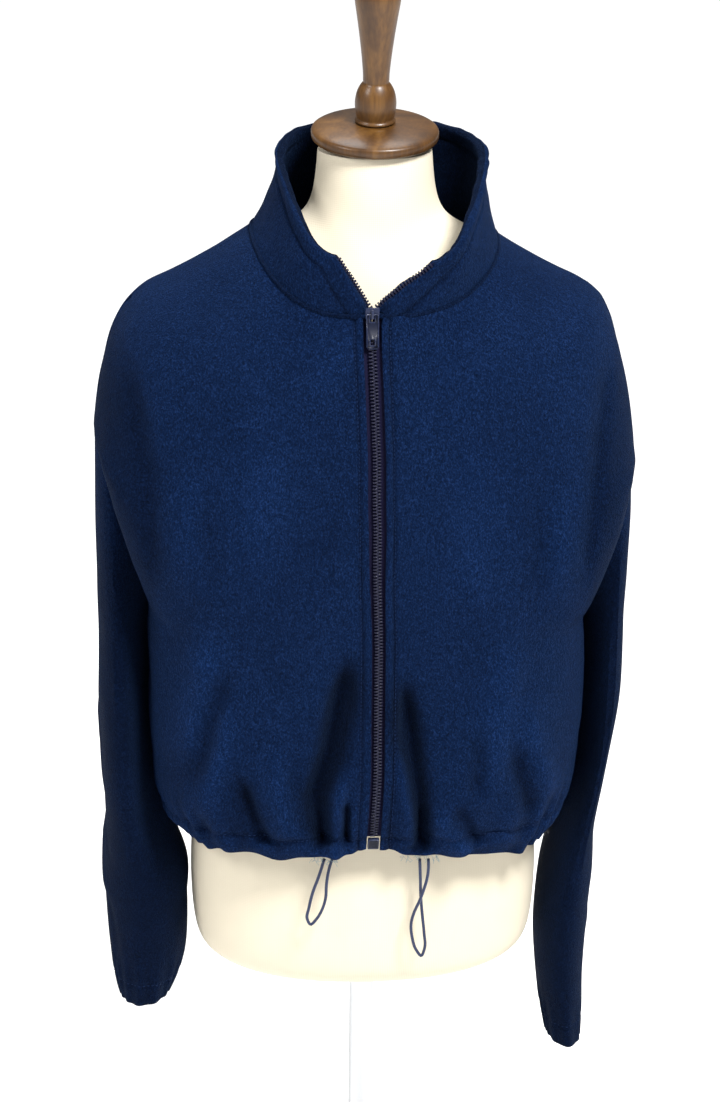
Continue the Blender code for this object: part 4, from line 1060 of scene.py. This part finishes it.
def addThreadEnds(settings):
    rough = random.Random(settings["seed"])
    made = []
    for low, high in settings["exits"]:
        for index in range(settings["count"]):
            across = rough.uniform(low, high)
            start = Vector((across, -0.1180 + rough.uniform(-0.002, 0.002), 0.4850 + rough.uniform(-0.001, 0.002)))
            lean = Vector((
                rough.uniform(-0.004, 0.004), rough.uniform(-0.002, 0.001), -rough.uniform(0.003, 0.0075)))
            bend = Vector((rough.uniform(-0.003, 0.003), -0.0008, 0.001))
            route = [start, start + lean * 0.4 + bend * 0.5, start + lean * 0.8 + bend, start + lean]
            made.append(tubeAlong("thread_end", route, settings["radius"], 3, paleThread))
    joined = joinAs("hem_thread_ends", made)
    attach(joined, "jacket_on_form")


addThreadEnds(threadEnds)
print("stitches set")


# zip hard parts

for node, finish in (("zip_tape_left", tapeWeave), ("zip_tape_right", tapeWeave)):
    nodes[node].data.materials.clear()
    nodes[node].data.materials.append(finish)


def sinkFace(part, rim):
    # the front face is set in behind a bright rim
    part.data.materials.append(enamelDark)
    pickOnly(part)
    for face in part.data.polygons:
        face.select = face.normal.y < -0.85
    for edge in part.data.edges:
        edge.select = False
    for vertex in part.data.vertices:
        vertex.select = False
    bpy.ops.object.mode_set(mode="EDIT")
    bpy.ops.mesh.select_mode(type="FACE")
    bpy.ops.mesh.inset(thickness=rim, depth=-0.00025, use_boundary=True, use_even_offset=True)
    part.active_material_index = 1
    bpy.ops.object.material_slot_assign()
    bpy.ops.object.mode_set(mode="OBJECT")


for node, name, bevel in (
        ("zip_slider", "slider_body", 0.0004), ("zip_bottom_box", "bottom_box", 0.0005),
        ("zip_pull_tab", "pull_tab", 0.0002)):
    part = softCopy(node, name, enamel, bevel, 0, 35)
    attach(part, "pull_tab" if node == "zip_pull_tab" else "jacket_on_form")
    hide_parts(node)
    if node != "zip_slider":
        sinkFace(part, 0.0009 if node == "zip_pull_tab" else 0.0007)

toothSettings = {"pitch": 0.0028, "across": 0.0044, "tall": 0.00135, "deep": 0.0024, "overlap": 0.0008}


def copiesOf(model, places, name):
    made = []
    for place in places:
        twin = addObject(name, model.data.copy())
        twin.data.transform(place)
        made.append(twin)
    bpy.data.objects.remove(model)
    return joinAs(name, made)


def toothModel(settings):
    bpy.ops.object.select_all(action="DESELECT")
    bpy.ops.mesh.primitive_cube_add(size=1)
    tooth = bpy.context.view_layer.objects.active
    tooth.data.transform(Matrix.Diagonal((settings["across"], settings["deep"], settings["tall"], 1)))
    bpy.ops.object.mode_set(mode="EDIT")
    bpy.ops.mesh.select_all(action="SELECT")
    bpy.ops.mesh.bevel(offset=0.0003, segments=1, affect="EDGES")
    bpy.ops.object.mode_set(mode="OBJECT")
    bpy.ops.object.shade_smooth_by_angle(angle=math.radians(40))
    tooth.data.materials.append(toothPlastic)
    return tooth


def closedTeeth(settings):
    low = zipLine[0, 2] + 0.0010
    high = zipLine[-1, 2] - 0.0005
    places = []
    count = int((high - low) / settings["pitch"])
    for index in range(count):
        for side, offset in ((-1, 0.0), (1, 0.5)):
            height = low + (index + offset) * settings["pitch"]
            middle = zipMiddle(height)
            away = side * (settings["across"] / 2 - settings["overlap"])
            places.append(Matrix.Translation((middle[0] + away, middle[1] - 0.0002, height)))
    teeth = copiesOf(toothModel(settings), places, "zip_teeth")
    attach(teeth, "jacket_on_form")
    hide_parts("zip_chain")


def openTeeth(settings, routes):
    places = []
    for word, route in routes.items():
        side = 1 if word == "left" else -1
        line = smoothRoute(route, settings["pitch"])
        for index in range(1, len(line) - 1):
            along = Vector(line[index + 1] - line[index - 1]).normalized()
            across = along.cross(Vector((0, 1, 0))).normalized()
            if across.x * side < 0:
                across = -across
            deep = across.cross(along)
            turned = Matrix((across, deep, along)).transposed().to_4x4()
            centre = Vector(line[index]) + across * 0.0006 + Vector((0, -0.0004, 0))
            places.append(Matrix.Translation(centre) @ turned)
    teeth = copiesOf(toothModel(settings), places, "zip_open_teeth")
    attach(teeth, "jacket_on_form")


closedTeeth(toothSettings)
openTeeth(toothSettings, openZip)
print("zip teeth set")


# dress form, cap, finial and stand

torso = softCopy("form_torso", "form_cloth_torso", formCloth, 0.0020, 2, 50)
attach(torso, "jacket_on_form")
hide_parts("form_torso")
for node, name in (("form_neck_cap", "wood_cap"), ("form_finial", "wood_finial")):
    part = softCopy(node, name, wood, 0.0, 1)
    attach(part, "jacket_on_form")
    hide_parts(node)
for node in ("stand_pole", "stand_base"):
    nodes[node].data.materials.clear()
    nodes[node].data.materials.append(steel)
print("form and stand finished")


# floor and studio light

def addStage():
    bpy.ops.object.select_all(action="DESELECT")
    bpy.ops.mesh.primitive_plane_add(size=40, location=(0, 0, 0))
    floor = bpy.context.view_layer.objects.active
    floor.name = "studio_floor"
    made, wire, shader = newFinish("paleFloor", {
        "Base Color": (0.90, 0.90, 0.90, 1), "Roughness": 0.9, "Emission Color": (1, 1, 1, 1),
        "Emission Strength": 0.30})
    floor.data.materials.append(made)


def addLight(name, place, aim, size, power):
    data = bpy.data.lights.new(name, "AREA")
    data.shape = "DISK"
    data.size = size
    data.energy = power
    lamp = addObject(name, data)
    away = (Vector(aim) - Vector(place)).normalized()
    lamp.matrix_world = Matrix.Translation(place) @ away.to_track_quat("-Z", "Y").to_matrix().to_4x4()


def addSun(name, place, strength):
    data = bpy.data.lights.new(name, "SUN")
    data.energy = strength
    data.angle = math.radians(35)
    lamp = addObject(name, data)
    lamp.matrix_world = Vector(place).to_track_quat("Z", "Y").to_matrix().to_4x4()


addStage()
world = bpy.data.worlds.new("studioWorld")
world.use_nodes = True
world.node_tree.nodes["Background"].inputs["Color"].default_value = (1.0, 1.0, 1.0, 1.0)
world.node_tree.nodes["Background"].inputs["Strength"].default_value = 0.20
bpy.context.scene.world = world
addLight("keyLight", (0.9, -1.5, 3.0), (0.0, 0.0, 0.75), 0.8, 135)
addLight("sideLight", (-2.0, -1.2, 2.4), (0.0, 0.0, 0.8), 1.0, 36)
addSun("farSun", (0.0, 1.4, 3.0), 2.0)
